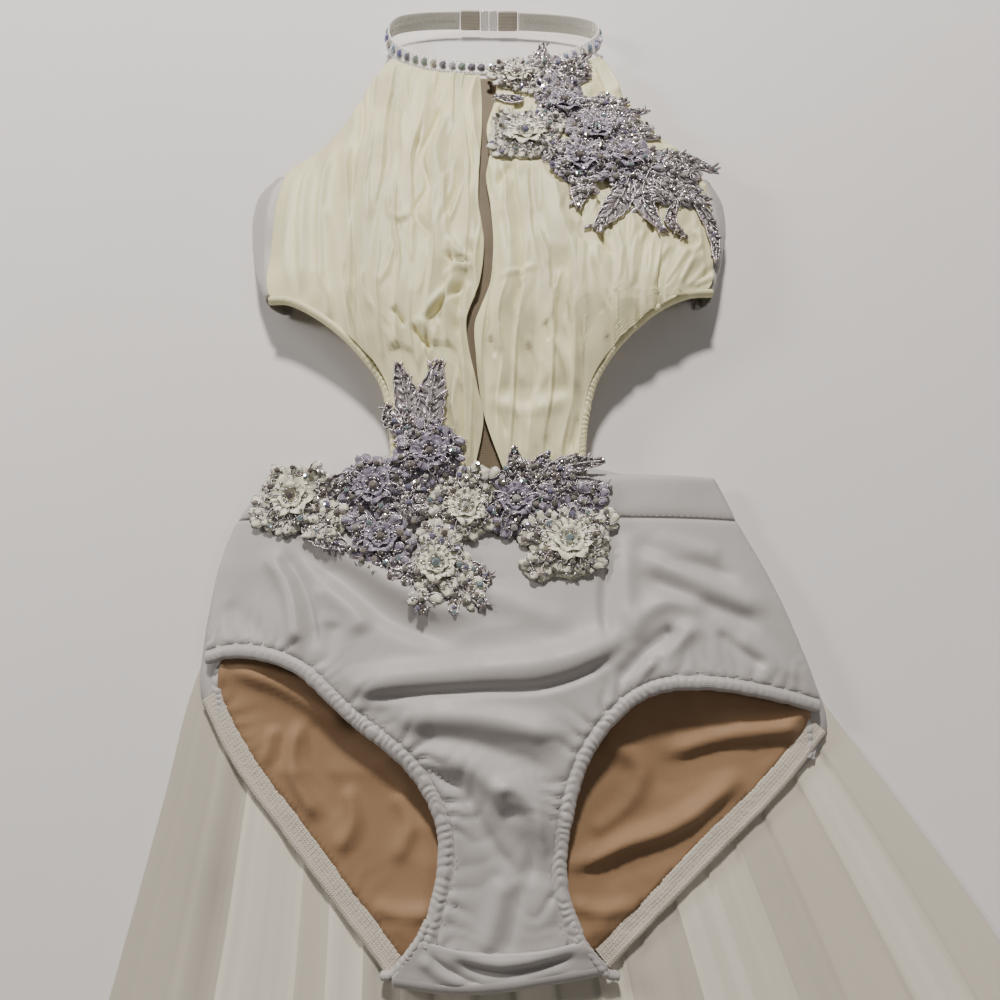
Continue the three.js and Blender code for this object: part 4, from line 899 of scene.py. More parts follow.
def outline_of(upper, routes, distance, sag):
    """A closed outline: level along the top, straight with a slight bulge down each side, in
    along the edges of both legs, and across the bottom with a sag."""
    t = np.linspace(0, 1, 24)[:-1]
    left, right = (leg_line(routes, side, distance, 120) for side in (0, 1))
    sides = []
    for side, line in enumerate((left, right)):
        bulge = upper["bulge"][side] * 4 * t * (1 - t)
        sides.append(np.column_stack([mix(upper["x"][side], line[0, 0], t) + bulge,
                                      mix(upper["y"], line[0, 1], t)]))
    dip = sag * 4 * t[1:] * (1 - t[1:])
    bottom = mix(left[-1], right[-1], t[1:, None]) - np.column_stack([0 * t[1:], dip])
    return np.vstack([sides[0], left, bottom, right[::-1], sides[1][::-1]])


def make_lining(sizes, colours):
    """The lining lies loose on the back: listed creases, soft waves, and small puckers drawn in
    by the elastic along both leg edges."""
    upper = {"x": (-110, 106), "y": -46, "bulge": (-4, 4)}
    lines = [leg_line(TAPE_EDGES, side, 8.0, 80) for side in (0, 1)]

    def top_of(x, y):
        edges = [nearest(x, y, line) for line in lines]
        inset = np.minimum(edges[0][0], edges[1][0])
        run = np.where(edges[0][0] < edges[1][0], edges[0][1], edges[1][1] + 3) * 135
        hold = step(0, 7, inset)
        pull = np.abs(np.sin(np.pi * (run / 7.5 + 0.8 * grain(run / 11, inset / 9, 12)))) ** 0.8
        low = 1.5 * pull * np.exp(-inset / 7) * step(0, 2.5, inset)
        low = low * (0.6 + 0.6 * grain(run / 13, inset / 20, 13))
        low += (0.25 + 0.75 * hold) * creases(x, y, LINING_CREASES) * 1.5
        low += hold * (0.9 * ridges(x / 30, y / 19, 21, 3.0) + 0.4 * grain(x / 12, y / 12, 22))
        under = np.minimum(*(nearest(x, y, curve_through(route, 40))[0] for route in LEG_EDGES))
        swell = 2.5 * np.exp(-(under / 14) ** 2) * hold
        return LINING_LOW + 0.9 + np.maximum(low, -0.1) + swell

    form, x, y = trimmed_shell(outline_of(upper, TAPE_EDGES, 8.0, 0), 1.9, top_of, 0.6)
    piece = put("lining_cloth", form, lining_look(colours),
                np.tile(place(x + 140, y + 220), (2, 1)), replaces=("brief_lining",))


def make_leg_tapes(sizes, colours):
    """Elastic beside each back leg edge. Its outer third is the cloth's turned edge, round and
    smooth; the rest is the knitted elastic, lightly ribbed across and uneven at its inner edge."""
    width = sizes.tape_width / MM
    for side, name in enumerate(("left", "right")):
        line = curve_through(TAPE_EDGES[side], 321)
        aside = sideways(line) * EDGE_SIDES[side]
        run = path_length(line)[None]
        u, _ = grid(14, 320)
        wobble = 0.12 * grain(run / 4.1, 0 * run, 33 + side)
        plan = line[None] + aside[None] * mix(wobble, width + 1.3 * wobble, u)[..., None]
        turned = np.exp(-((u - 0.16) / 0.13) ** 2)
        crown = 1.0 + 0.55 * turned + 0.3 * np.sqrt(np.clip(1 - ((u - 0.62) / 0.42) ** 2, 0, 1))
        ribs = 0.06 * np.sin(run * 2 * np.pi / 1.9 + 0.8 * np.sin(u * 9)) * step(0.3, 0.4, u)
        lumps = (0.10 * grain(run / 1.1, u * 9, 31 + side) * step(0.28, 0.4, u)
                 + 0.2 * grain(run / 9, u * 2, 35))
        top = BACK_LOW + 1.2 + SEAM_GAP + crown * (1 - 0.7 * (2 * u - 1) ** 10) + ribs + lumps
        form = shell(place(plan[..., 0], plan[..., 1], top), 1.0)
        put(f"leg_tape_{name}_elastic", form, elastic_look(colours),
            on_both_sides(u * width, np.broadcast_to(run, u.shape)), replaces=(f"leg_tape_{name}",))


def gusset_seam_outline(left, right, count):
    """Points from the left end of the gusset's seam to the right one."""
    x = np.linspace(left, right, count)
    return np.column_stack([x, column(GUSSET_SEAM, "x", "y")(x) - 0.6])


def make_brief_front(sizes, colours):
    """The front: listed creases, soft broad waves, and puckers that run in from the gathers of
    the leg casings."""
    upper = {"x": (-126.8, 114.3), "y": WAISTBAND_SEAM - 0.15, "bulge": (-3.5, 3)}
    outline = outline_of(upper, LEG_EDGES, CASING_WIDTH - 1.2, 0)
    bottom = gusset_seam_outline(-24, 26, 24)
    outline = outline[(outline[:, 1] > -203.5)]
    cut = int(np.argmin(np.hypot(*(outline - bottom[0]).T)))
    outline = np.vstack([outline[:cut + 1], bottom, outline[cut + 1:]])
    lines = [leg_line(LEG_EDGES, side, CASING_WIDTH - 1.2, 90) for side in (0, 1)]

    def top_of(x, y):
        edges = [nearest(x, y, line) for line in lines]
        inset = np.minimum(edges[0][0], edges[1][0])
        run = np.where(edges[0][0] < edges[1][0], edges[0][1], edges[1][1] + 3) * 165
        hold = np.clip((-y - 34) / 22, 0.12, 1)
        tight = step(0.28, 0.55, np.mod(run / 165, 3))
        pull = np.abs(np.sin(np.pi * (run / 6.6 + 0.9 * grain(run / 12, inset / 10, 43)))) ** 0.55 - 0.5
        small = grain(run / 1.7, inset / 7, 45)
        gathers = (3.5 * pull * np.exp(-inset / 8.5) * (0.6 + 0.6 * grain(run / 9, inset / 30, 46))
                   + 0.55 * small * np.exp(-inset / 3.5)) * (0.75 + 0.25 * tight)
        shape = 1.65 * creases(x, y, FRONT_CREASES)
        shape += 0.5 * grain(x / 24, y / 17, 41) + 0.45 * ridges(x / 38, y / 19, 42, 2.5)
        rim = step(0, 10, inset)
        shape = hold * (0.15 + 0.85 * rim) * shape - 0.75 * np.exp((y - WAISTBAND_SEAM) / 1.6)
        sewn = mix(1.15, 1.65, step(0, 3, inset))
        return brief_height(x, y) + sewn + shape + gathers * step(0, 2, inset)

    form, x, y = trimmed_shell(outline, 1.3, top_of, sizes.stretch / MM)
    piece = put("brief_front_cloth", form, spandex_look(colours),
                np.tile(place(x + 140, y + 220), (2, 1)), replaces=("brief_front",))


def make_waistband(sizes, colours):
    """The band is cloth folded double: its upper edge is a soft roll, its lower edge a seam that
    sinks towards the front."""
    rows = table("v leftX leftY rightX rightY bow",
                 (0, -113, WAISTBAND_TOP, 105.5, WAISTBAND_TOP, 0),
                 (1, -126.5, WAISTBAND_SEAM, 114.2, WAISTBAND_SEAM, 0))
    u, v = grid(110, 16)
    x, y = panel_place(rows, u, v)
    roll = 1 - 0.75 * np.exp(-v / 0.05)
    seam = 1 - 0.72 * np.exp(-(1 - v) / 0.09)
    top = brief_height(x, y) + 0.45 + 2.0 * roll * seam
    top += 0.18 * grain(x / 17, y / 8, 51) + 0.12 * ridges(x / 9, y / 11, 52, 3)
    form = shell(place(x, y, top), 0.9)
    piece = put("waistband_cloth", form, spandex_look(colours),
                on_both_sides(x + 140, y + 220), replaces=("waistband",))


def gathered_strip(line, side, width, tight, seed, low_of):
    """A flat roll of cloth along a line: round at the edge of the opening, lower where it is
    sewn down, and drawn in across itself about every three millimetres, harder where tight is
    high. The edge wavers with the gathers."""
    aside = sideways(line) * EDGE_SIDES[side]
    run = path_length(line)[None]
    u = np.linspace(0, 1, 13)[:, None] + 0 * run
    phase = run / 3.1 + 0.6 * grain(run / 7, u * 2.2, seed) + 0.12 * np.sin(5 * u)
    gather = np.abs(np.sin(np.pi * phase)) ** 0.6 - 0.6
    gather = gather * (0.75 + 0.5 * grain(run / 4, u * 3, seed + 1)) * tight
    edge = 0.22 * grain(run / 3.1, 0 * run, seed + 2) - 0.3 * gather[:1]
    plan = line[None] + aside[None] * mix(edge, width + 0 * edge, u)[..., None]
    swell = np.sqrt(np.clip(1 - (2 * np.minimum(u, 0.5) - 1) ** 2, 0, 1))
    swell = np.where(u > 0.5, 1 - 0.6 * step(0.5, 0.9, u), swell)
    x, y = plan[..., 0], plan[..., 1]
    top = low_of(x, y) + 0.3 + 2.2 * swell + 0.95 * gather * np.sin(np.pi * np.clip(u, 0.04, 0.97))
    return shell(place(x, y, top), 0.9 + 0.8 * swell[..., None]), on_both_sides(u * width, run + 0 * u)


# Where the elastic turns the outer corner of each leg, from the back edge round to the front.
LEG_CORNERS = (
    ((-121, -122), (-122.5, -113), (-124, -106), (-122.5, -101), (-117, -98)),
    ((131, -137), (133, -129), (133, -123), (129, -119)))


def make_leg_casings(sizes, colours):
    """Elastic turned inside the cloth round each front leg edge and round its outer corner, and
    a narrow ruched roll that carries it down the gusset's side."""
    for side, name in enumerate(("left", "right")):
        line = curve_through(LEG_EDGES[side] + (LEG_ENDS[side],), 340)
        share = np.linspace(0, 1, 340)[None]
        tight = 0.3 + 0.8 * step(0.22, 0.6, share)
        strip, uv = gathered_strip(line, side, CASING_WIDTH + 0.6, tight, 61 + 10 * side, brief_height)
        corner = curve_through(LEG_CORNERS[side], 90)
        turn = np.linspace(1, 0, 90)[None]
        corner_strip, corner_uv = gathered_strip(corner, side, CASING_WIDTH - 0.6, 0.9 + 0 * turn, 81 + side,
                                                 lambda x, y: mix(3.9, 3.0, turn) + 0 * x)
        way = (-1, 1)[side]
        roll = curve_through(((way * 28.5, -199), (way * 31.5, -205), (way * 36.5, -211.5),
                              (way * 42, -217.6), (way * 46.5, -218.6)), 80)
        height = np.interp(np.linspace(0, 1, 80), [0, 0.35, 0.7, 1], [11.3, 11.0, 9.4, 6.2])
        roll_form = ruched_cord(place(roll[:, 0], roll[:, 1], height), 1.75, 2.6, 0.6, 85 + side, 14)
        roll_uv = np.zeros((len(roll_form[0]), 2)) + [3.0, 0.0]
        put(f"leg_casing_{name}_cloth", merge([strip, corner_strip, roll_form]), spandex_look(colours),
            np.vstack([uv, corner_uv, roll_uv]), replaces=(f"leg_casing_{name}",))


GUSSET_SEAM = table("u x y", (0, -31, -206.4), (0.25, -15, -209.7), (0.5, 1, -210.8), (0.75, 17, -209.7),
                    (1, 33, -206.6))
GUSSET_FOLD = table("u x y", (0, -42, -221.5), (0.25, -20, -224), (0.5, 0, -223.5), (0.75, 22, -220.5),
                    (1, 42, -217.5))


GUSSET_CREASES = (
    (1.9, 2.6, 1.0, ((-26, -204.5), (-15, -209.6), (-5, -212.6), (6, -212.6), (18, -209.8), (31, -207))),
    (-2.2, 2.0, 1.0, ((-19, -210.5), (-8.6, -215.2), (1, -216.6), (11, -215.6), (22, -212.8), (31, -210))),
    (-1.5, 1.6, 1.0, ((-29, -209.5), (-18, -217), (-5, -222.5))),
    (1.2, 2.4, 1.0, ((-32, -211), (-22, -218), (-12, -222))),
)


def make_gusset(sizes, colours):
    """The gusset comes from under the back round the fold of the crotch, as a half circle, and
    runs up over the front to its seam."""
    u, v = grid(80, 76)
    seam = {name: column(GUSSET_SEAM, "u", name)(u) for name in "xy"}
    fold = {name: column(GUSSET_FOLD, "u", name)(u) for name in "xy"}
    middle, radius = 6.4, 3.3
    out = np.clip(v / 0.5, 0, 1)
    angle = np.pi * np.clip((v - 0.5) / 0.5, 0, 1)
    edge_y = fold["y"] + middle - 3.1
    x = mix(seam["x"], fold["x"], out)
    flat_y = mix(seam["y"] + 0.5, edge_y, out)
    flat_z = mix(brief_height(x, seam["y"]) + 2.2 - 0.7 * np.exp(-out / 0.06), middle + radius, out)
    y = np.where(v < 0.5, flat_y, edge_y - radius * np.sin(angle))
    z = np.where(v < 0.5, flat_z, middle + radius * np.cos(angle))
    soft = creases(x, y, GUSSET_CREASES) + 0.35 * grain(x / 7, y / 4, 71)
    z += np.where(v < 0.5, soft * np.sin(np.pi * np.clip(out, 0.12, 1)) ** 0.5, 0)
    form = shell(place(x, y, z), 0.9, along_normals=True)
    piece = put("gusset_cloth", form, spandex_look(colours),
                on_both_sides(u * 80, v * 26), replaces=("gusset",))


# ------------------------------------------------------------------ bodice
LEFT_PANEL = table(
    "v leftX leftY rightX rightY bow",
    (0, -68.5, 274, -12.4, 257.4, -4.5), (0.1, -80, 243, -10.9, 232, 0), (0.19, -93, 215, -10.6, 206, 0),
    (0.28, -107, 192, -11.2, 182, 0), (0.34, -121, 180, -11.8, 166, 0), (0.43, -125, 156, -11.6, 144, 0),
    (0.52, -124.5, 128, -8.6, 120, 0), (0.62, -122, 92.5, -10.6, 94, 0), (0.67, -106, 85.6, -15.4, 80, 0),
    (0.73, -88.2, 74.4, -17.2, 70, 0), (0.79, -71.6, 59.6, -15.6, 56, 0), (0.86, -58.6, 42.6, -11.6, 38, 0),
    (0.92, -53.3, 23.8, -8.2, 20, 0), (1, -49.8, -6, -12.6, -6.4, 0))
RIGHT_PANEL = table(
    "v leftX leftY rightX rightY bow",
    (0, -1.9, 257.4, 62, 275, -3), (0.1, -3, 232, 76, 236, 0), (0.19, -7.6, 206, 90, 208, 0),
    (0.28, -5.8, 182, 105, 189, 0), (0.34, -7.8, 166, 113, 176, 0), (0.43, -5.2, 144, 117, 152, 0),
    (0.52, -3.6, 120, 115.5, 124, 0), (0.62, -5, 94, 110.5, 95.8, 0), (0.67, -9.8, 80, 93, 88, 0),
    (0.73, -12.9, 70, 76, 77.4, 0), (0.79, -12.4, 56, 60.4, 62.6, 0), (0.86, -10.7, 38, 47.4, 44.3, 0),
    (0.92, -7.3, 20, 41.3, 23.4, 0), (1, 2, -6.4, 38, -6, 0))

LEFT_CREASES = (
    (2.6, 1.0, 5.0, ((-107, 186), (-110, 172), (-110.4, 145), (-107, 112), (-105, 88))),
    (1.8, 1.0, 4.0, ((-112, 182), (-117, 170), (-118, 145), (-115.5, 112), (-112, 92))),
    (2.0, 1.1, 3.0, ((-96, 198), (-99.5, 172), (-99, 140), (-95.5, 106), (-93, 84))),
    (1.3, 3.0, 1.0, ((-95, 150), (-89, 125), (-86, 100))),
    (1.0, 2.5, 1.0, ((-98, 108), (-90, 90), (-88.5, 72))),
    (1.9, 2.2, 0.7, ((-88, 212), (-86, 170), (-81.5, 135), (-78, 87), (-79, 66))),
    (1.2, 1.8, 0.7, ((-92, 200), (-85, 166), (-81, 146))),
    (1.5, 2.0, 0.7, ((-71, 226), (-73, 188), (-72.5, 159), (-70, 130))),
    (1.4, 1.8, 0.7, ((-65, 190), (-66, 170), (-68, 142))),
    (1.2, 2.0, 1.0, ((-56, 246), (-56.7, 214), (-56.5, 180))),
    (1.2, 2.0, 1.0, ((-44.5, 246), (-44.3, 214), (-45, 188))),
    (-2.6, 1.5, 1.2, ((-33, 236), (-38, 208), (-43, 190), (-44.4, 178), (-39, 159), (-46, 139), (-38, 126),
                      (-31, 108))),
    (1.9, 2.8, 1.0, ((-28, 234), (-33, 208), (-37, 186), (-33, 160), (-37, 142), (-32, 126))),
    (1.8, 1.8, 0.6, ((-20.5, 184), (-19.5, 162), (-23, 145), (-29, 126))),
    (-1.6, 1.4, 1.0, ((-24.5, 180), (-23.5, 160), (-27, 145), (-32, 128))),
    (1.3, 2.2, 1.0, ((-17, 242), (-18, 206), (-21, 180))),
    (1.5, 1.6, 0.7, ((-29, 168), (-31.5, 145), (-34, 126))),
    (2.2, 1.8, 1.0, ((-29, 121), (-21, 110), (-12.5, 106.5))),
    (2.0, 1.8, 1.0, ((-12.5, 105.5), (-22, 102), (-30, 96))),
    (-1.8, 1.6, 1.0, ((-30, 112), (-22, 106), (-14, 105))),
    (1.9, 2.0, 0.7, ((-21, 98), (-31, 85), (-40.5, 71))),
    (-1.6, 1.5, 1.0, ((-16, 94), (-27, 84), (-38, 69))),
    (1.5, 2.0, 1.0, ((-17, 96), (-17, 77), (-13, 64))),
    (1.5, 1.7, 1.0, ((-61, 152), (-57, 135), (-46, 138))),
    (1.5, 1.7, 0.7, ((-46, 136), (-47, 120), (-45, 104))),
    (1.4, 1.8, 0.7, ((-56, 120), (-58, 102), (-64, 90))),
    (1.4, 1.7, 0.7, ((-38, 115), (-39, 102), (-42, 84))),
    (1.6, 1.8, 0.7, ((-74, 104), (-69, 86), (-62, 74), (-55, 57))),
    (1.5, 1.6, 0.7, ((-66, 101), (-62, 80), (-56, 68))),
    (-2.0, 1.5, 1.0, ((-55, 79), (-51, 72.5), (-48, 68))),
    (-2.0, 1.6, 1.0, ((-45, 69), (-39, 60.8), (-33, 57))),
    (1.8, 2.2, 1.0, ((-44, 73), (-36, 66), (-31, 56))),
    (1.2, 2.2, 1.0, ((-31, 74), (-33, 62), (-38, 48))),
    (1.4, 2.4, 1.0, ((-22, 68), (-20, 52), (-9, 36))),
    (1.2, 2.4, 1.0, ((-30, 60), (-24, 45), (-16, 34))),
)
RIGHT_CREASES = (
    (-1.2, 1.6, 1.0, ((7, 175), (2, 165), (-2, 156))),
    (1.2, 2.0, 1.0, ((21, 176), (22, 152), (21, 137))),
    (1.8, 2.0, 0.7, ((31, 150), (42, 136), (43, 114), (41.5, 90))),
    (1.2, 1.8, 0.7, ((18, 146), (13.5, 125), (15, 103))),
    (1.5, 1.8, 0.6, ((19.5, 128), (23.6, 114.5), (26, 101))),
    (-2.0, 1.5, 1.0, ((53, 127), (55.5, 119), (57.5, 111))),
    (-1.5, 1.3, 1.0, ((57.5, 134), (61.5, 125))),
    (1.6, 2.0, 0.7, ((59.5, 133), (64, 118), (61, 92))),
    (1.8, 1.8, 0.7, ((80, 133), (72.7, 117), (70, 92))),
    (1.6, 1.6, 0.7, ((82, 126), (77, 111), (76, 92))),
    (1.7, 1.6, 0.7, ((93, 124), (83, 107), (79, 92))),
    (1.9, 1.6, 0.7, ((107, 133), (102, 120), (93, 106), (85, 93))),
    (1.7, 1.5, 0.7, ((109, 128), (100, 107), (92, 93))),
    (1.6, 1.5, 0.7, ((112, 112), (104, 101), (97, 94))),
    (1.6, 1.5, 0.7, ((116, 105), (107, 99), (100, 95))),
    (1.2, 2.0, 1.0, ((-3, 146), (0, 125), (2, 99))),
    (1.3, 1.8, 1.0, ((1, 143), (4.5, 130), (5.5, 112))),
    (-1.2, 5.0, 1.0, ((-4, 37), (15, 34), (38, 38))),
    (1.4, 3.0, 1.0, ((-10, 30), (4, 26), (17, 24), (36, 33))),
    (-1.6, 1.4, 1.0, ((13.5, 61), (17, 51), (18.3, 34))),
    (1.5, 2.2, 1.0, ((27, 64), (33.5, 48), (40, 35))),
    (1.7, 2.0, 0.7, ((40, 130), (38, 82), (38, 61), (38.5, 34))),
    (-1.6, 1.6, 1.0, ((39.5, 23), (37.5, 14), (34, 4))),
    (-1.4, 1.5, 1.0, ((-3, 31), (0.5, 20), (4, 11))),
    (1.5, 2.2, 1.0, ((18, 30), (21, 21), (23, 8))),
    (1.4, 2.2, 1.0, ((7, 27), (14, 15), (18, 2))),
    (1.8, 1.7, 0.6, ((32, 103), (28, 84), (26, 70))),
    (-1.7, 1.4, 1.0, ((23, 71), (25.5, 60))),
    (1.6, 1.8, 0.7, ((45, 111), (49.5, 90), (55, 74))),
    (-1.4, 1.3, 1.0, ((48, 109), (53, 90), (58, 76))),
    (1.3, 1.8, 0.7, ((45, 128), (43, 103), (40.5, 65))),
    (1.7, 1.4, 0.6, ((-3, 93.5), (6, 98.4), (11.5, 100), (20, 102.5))),
    (1.3, 1.6, 0.7, ((8, 101), (12.5, 92))),
    (1.2, 1.6, 0.7, ((-0.5, 69), (0.5, 53))),
    (-1.3, 1.4, 1.0, ((-5, 63), (-2, 52))),
    (1.3, 1.6, 0.7, ((52, 77), (54.5, 62))),
    (1.5, 1.7, 0.7, ((74, 128), (70, 112), (68, 86))),
)


STRIP = 8.6         # mean width of one gathered strip of the bodice
PRESSED = 2.9       # how high the bodice may stand beneath the applique


def wander(q, y, seed):
    """The gathers drift from side to side as they run down."""
    return q + 4.2 * grain(q / 26, y / 55, seed) + 2.2 * grain(q / 9 + 5, y / 26, seed + 1)


def uneven(q, y, seed, pitch):
    """Places counted in strips about a pitch wide, some twice as wide as others, which drift."""
    q = wander(q, y, seed)
    return (q + 0.36 * pitch * grain(q / (1.7 * pitch), 0 * y + 0.5, seed + 7)) / pitch


def pleats(q, y, seed, pitch):
    """Flat strips of cloth between folded edges. Each tilts its own way, which changes slowly along
    it, and ends at a narrow step with a thin crest on it. Heights run from about 0 to 1."""
    place_on = uneven(q, y, seed, pitch)
    number = np.floor(place_on)
    share = place_on - number
    low, high = (np.clip(0.45 + 0.75 * grain(number, y / 46, seed + k), 0, 1) for k in (2, 3))
    after = np.clip(0.45 + 0.75 * grain(number + 1, y / 46, seed + 2), 0, 1)
    crest = np.maximum(grain(number, y / 38, seed + 4), 0) * np.exp(-(((share - 0.88) * pitch / 1.1) ** 2))
    return mix(mix(low, high, share / 0.9), after, step(0.84, 1.0, share)) + 0.75 * crest


def crinkles(q, y, seed):
    """Satin-backed chiffon crushed by its gathers: flat facets between sharp crests, some along
    the pleats and some across them."""
    fine = pleats(q + 31, y, seed + 11, 4.3)
    slant = 1 - np.abs(grain((q + 0.45 * y) / 12, (y - 0.3 * q) / 26, seed + 4)) * 2
    back = 1 - np.abs(grain((q - 0.4 * y) / 13, (y + 0.3 * q) / 28, seed + 5)) * 2
    patch = step(-0.3, 0.4, grain(q / 24, y / 30, seed + 6))
    return 0.35 * fine + 1.0 * patch * np.maximum(slant, 0) + 0.9 * (1 - patch) * np.maximum(back, 0)


def beneath_applique(x, y):
    """1 under an applique's rounds and leaves, falling to 0 a few millimetres outside them."""
    gap = np.full(x.shape, np.inf)
    for which in MASSES:
        for spot in MASSES[which]:
            gap = np.minimum(gap, np.hypot(x - spot["x"], y - spot["y"]) - spot["radius"])
        for spec in LEAVES[which]:
            vein = np.column_stack(vein_of(spec, np.linspace(0, 1, 9))[:2])
            gap = np.minimum(gap, nearest(x, y, vein)[0] - 0.4 * spec["width"])
    return step(7, 1.5, gap)


def lay_panel(rows, draw, seed, crease_rows, u, v, gather):
    """Plan and top of a bodice panel: the dome of the body, pleats and crinkles that follow the
    gathers, listed creases, and a smooth hem along the centre edge. Where little is gathered
    only a few faint pleats are left. The heights are held between the body and a soft ceiling, and
    the applique presses them flatter."""
    x, y = panel_place(rows, u, v)
    q, full, hem = draw(x, y, v)
    relief = (2.7 * gather * pleats(q, y, seed, STRIP) * (0.05 + 1.05 * full)
              + 1.3 * full * crinkles(q, y, seed))
    relief = mix(0.5 + 0.25 * relief, relief, hem)
    made = creases(x, y, crease_rows)
    relief += mix(0.5, 1.3, hem) * np.where(made < 0, 1.3 * made, made)
    relief += 0.5 * grain(x / 30, y / 34, seed + 9)
    ends = step(0, 0.03, v) * 0.75 + 0.25
    ends = ends * mix(1.0, 0.72, step(60, 20, y))
    limit = gather + 5.2
    relief = limit * np.tanh(np.maximum(relief * ends + 0.6, 0.02) / limit)
    relief = np.minimum(relief, mix(limit, PRESSED, beneath_applique(x, y)))
    return x, y, bodice_height(x, y) + relief, STRIP * uneven(q, y, seed, STRIP)


def make_bodice(sizes, colours):
    """Two gathered panels, each open along the centre over the nude insert."""
    gather = sizes.gather / MM
    cloth = sizes.chiffon / MM

    def draw_left(x, y, v):
        # The gathers run straight down and close in on the waist; the side is flat and plain.
        narrow = mix(1.0, 0.6, step(105, 0, y))
        q = (x + 12) / narrow
        full = step(-80, -70, q) * (0.75 + 0.25 * step(-64, -50, q))
        hem = step(0, 6, np.abs(x - column(LEFT_PANEL, "v", "rightX")(v)))
        return q, full, hem

    def draw_right(x, y, v):
        # The gathers fan out from under the applique to the underarm.
        fan = np.clip((x - 56) / 54, 0, 1) ** 1.2 * np.clip(y - 94, -20, 44)
        q = x + 26 * step(58, 108, x) * step(40, 90, y) - 0.8 * fan
        full = 0.8 + 0.2 * step(60, 20, np.abs(x - 30)) + 0.25 * step(66, 84, x) + 0 * y
        hem = step(0, 6, np.abs(x - column(RIGHT_PANEL, "v", "leftX")(v)))
        return q, full * (1 - 0.45 * step(58, 30, y)), hem

    for name, rows, draw, seed, crease_rows in (
            ("bodice_left", LEFT_PANEL, draw_left, 100, LEFT_CREASES),
            ("bodice_right", RIGHT_PANEL, draw_right, 200, RIGHT_CREASES)):
        u, v = grid(164, 150)
        x, y, top, q = lay_panel(rows, draw, seed, crease_rows, u, v, gather)
        form = shell(place(x, y, top + cloth), cloth)
        piece = put(f"{name}_cloth", form, chiffon_look(colours),
                    on_both_sides(q + 30 * STRIP, y + 20), replaces=(name,))


def make_insert(sizes, colours):
    """The insert runs under both centre edges, drawn down the middle into soft wrinkles."""
    overlap = 5.5
    rows = [{"v": left["v"], "leftX": left["rightX"] - overlap, "leftY": left["rightY"] - 0.3,
             "rightX": right["leftX"] + overlap, "rightY": left["rightY"] - 0.3, "bow": 0}
            for left, right in zip(LEFT_PANEL, RIGHT_PANEL)]
    u, v = grid(16, 120)
    x, y = panel_place(rows, u, v)
    wrinkles = ridges(u * 4 + 0.5 * grain(u, v * 9, 81), v * 7, 82, 2.0)
    top = bodice_height(x, y) - SEAM_GAP - 0.15 - 0.5 * wrinkles
    top -= 0.35 * np.exp(-((v - 0.545) / 0.006) ** 2)
    form = shell(place(x, y, top), 0.6)
    look = sheer_mesh("nude_mesh", colours.mesh)
    piece = put("nude_insert_cloth", form, look, on_both_sides(x + 140, y + 20),
                replaces=("nude_insert",))


PIPINGS = (
    ((-121, 89), (-110.5, 87.5), (-90, 75.5), (-72, 58.8), (-59.5, 42), (-54.3, 24), (-50.8, -5.8)),
    ((112, 94), (99.5, 91.5), (80.5, 81.5), (61, 63.5), (48.2, 44), (42.3, 23), (39, -5.8)))


def make_pipings(sizes, colours):
    """Corded roll along each underarm edge, its casing drawn into fine cross gathers."""
    for side, name in enumerate(("left", "right")):
        line = curve_through(PIPINGS[side], 400)
        path = np.column_stack([line, bodice_height(line[:, 0], line[:, 1]) + 0.9])
        share = np.linspace(0, 1, 400)[None]
        tight = 0.3 + 0.7 * (step(0.12, 0.4, share) if side else step(0.35, 0.75, share))
        form = ruched_cord(path, 2.25, (3.3, 2.7)[side], 0.75 * tight, 91 + side, 14)
        uv = place(np.broadcast_to(np.arange(14) * 1.0, (400, 14)),
                   np.broadcast_to(path_length(path)[:, None], (400, 14)))
        uv = np.vstack([uv.reshape(-1, 2), uv[0, :1], uv[-1, :1]])
        put(f"piping_{name}_roll", form, chiffon_look(colours), uv,
            replaces=(f"piping_{name}",))


SIDES = (
    table("v y topX reach bottomX", (0, 176, -122.2, 10, -120), (0.2, 164, -124.4, 17, -119.6),
          (0.5, 142, -125.1, 17.5, -119), (0.8, 110, -123.4, 14.0, -116), (1, 91.5, -121.0, 7.5, -114)),
    table("v y topX reach bottomX", (0, 173, 113.9, 9, 112), (0.2, 160, 116.3, 12.5, 112),
          (0.5, 140, 117.2, 12.5, 111), (0.8, 113, 114.2, 9.0, 109), (1, 95.5, 110.6, 6, 107)))


def make_sides(sizes, colours):
    """Each side comes from under the chiffon, turns down round the underarm as a half round and
    runs in on the floor. The left is smooth, the right is drawn into lengthwise pleats."""
    for side, name in enumerate(("left", "right")):
        way = (-1, 1)[side]
        u, v = grid(54, 40)
        y, top_x, reach, bottom_x = (column(SIDES[side], "v", key)(v)
                                     for key in ("y", "topX", "reach", "bottomX"))
        top = bodice_height(top_x, y) + 1.0
        middle, half = top / 2, top / 2
        angle = np.pi * u
        fine = ridges(u * (7, 13)[side] + 0.4 * grain(u * 3, v * 5, 101), v * (2.0, 3.0)[side],
                      102 + side, 2.0)
        depth = ((0.5, 1.2)[side] * fine * np.sin(angle)
                 + 0.35 * grain(u * 5, v * 4, 104 + side) * np.sin(angle))
        bulge = (reach - 0.8 + depth - 0.6) * np.maximum(np.sin(angle), 0) ** 0.8
        x = mix(top_x, bottom_x, u) + way * (bulge + 0.4)
        tuck = -way * 6 * np.maximum(0, 0.1 - u) / 0.1
        z = np.maximum(middle + half * np.cos(angle), 0.9)
        grid_points = place(x + tuck, y, z - 0.9 * (u < 0.06))
        if way > 0:
            grid_points = grid_points[:, ::-1]
        form = shell(grid_points, 0.8, along_normals=True)
        piece = put(f"side_{name}_cloth", form, spandex_look(colours),
                    on_both_sides(u * 60, v * 80), replaces=(f"side_{name}",))


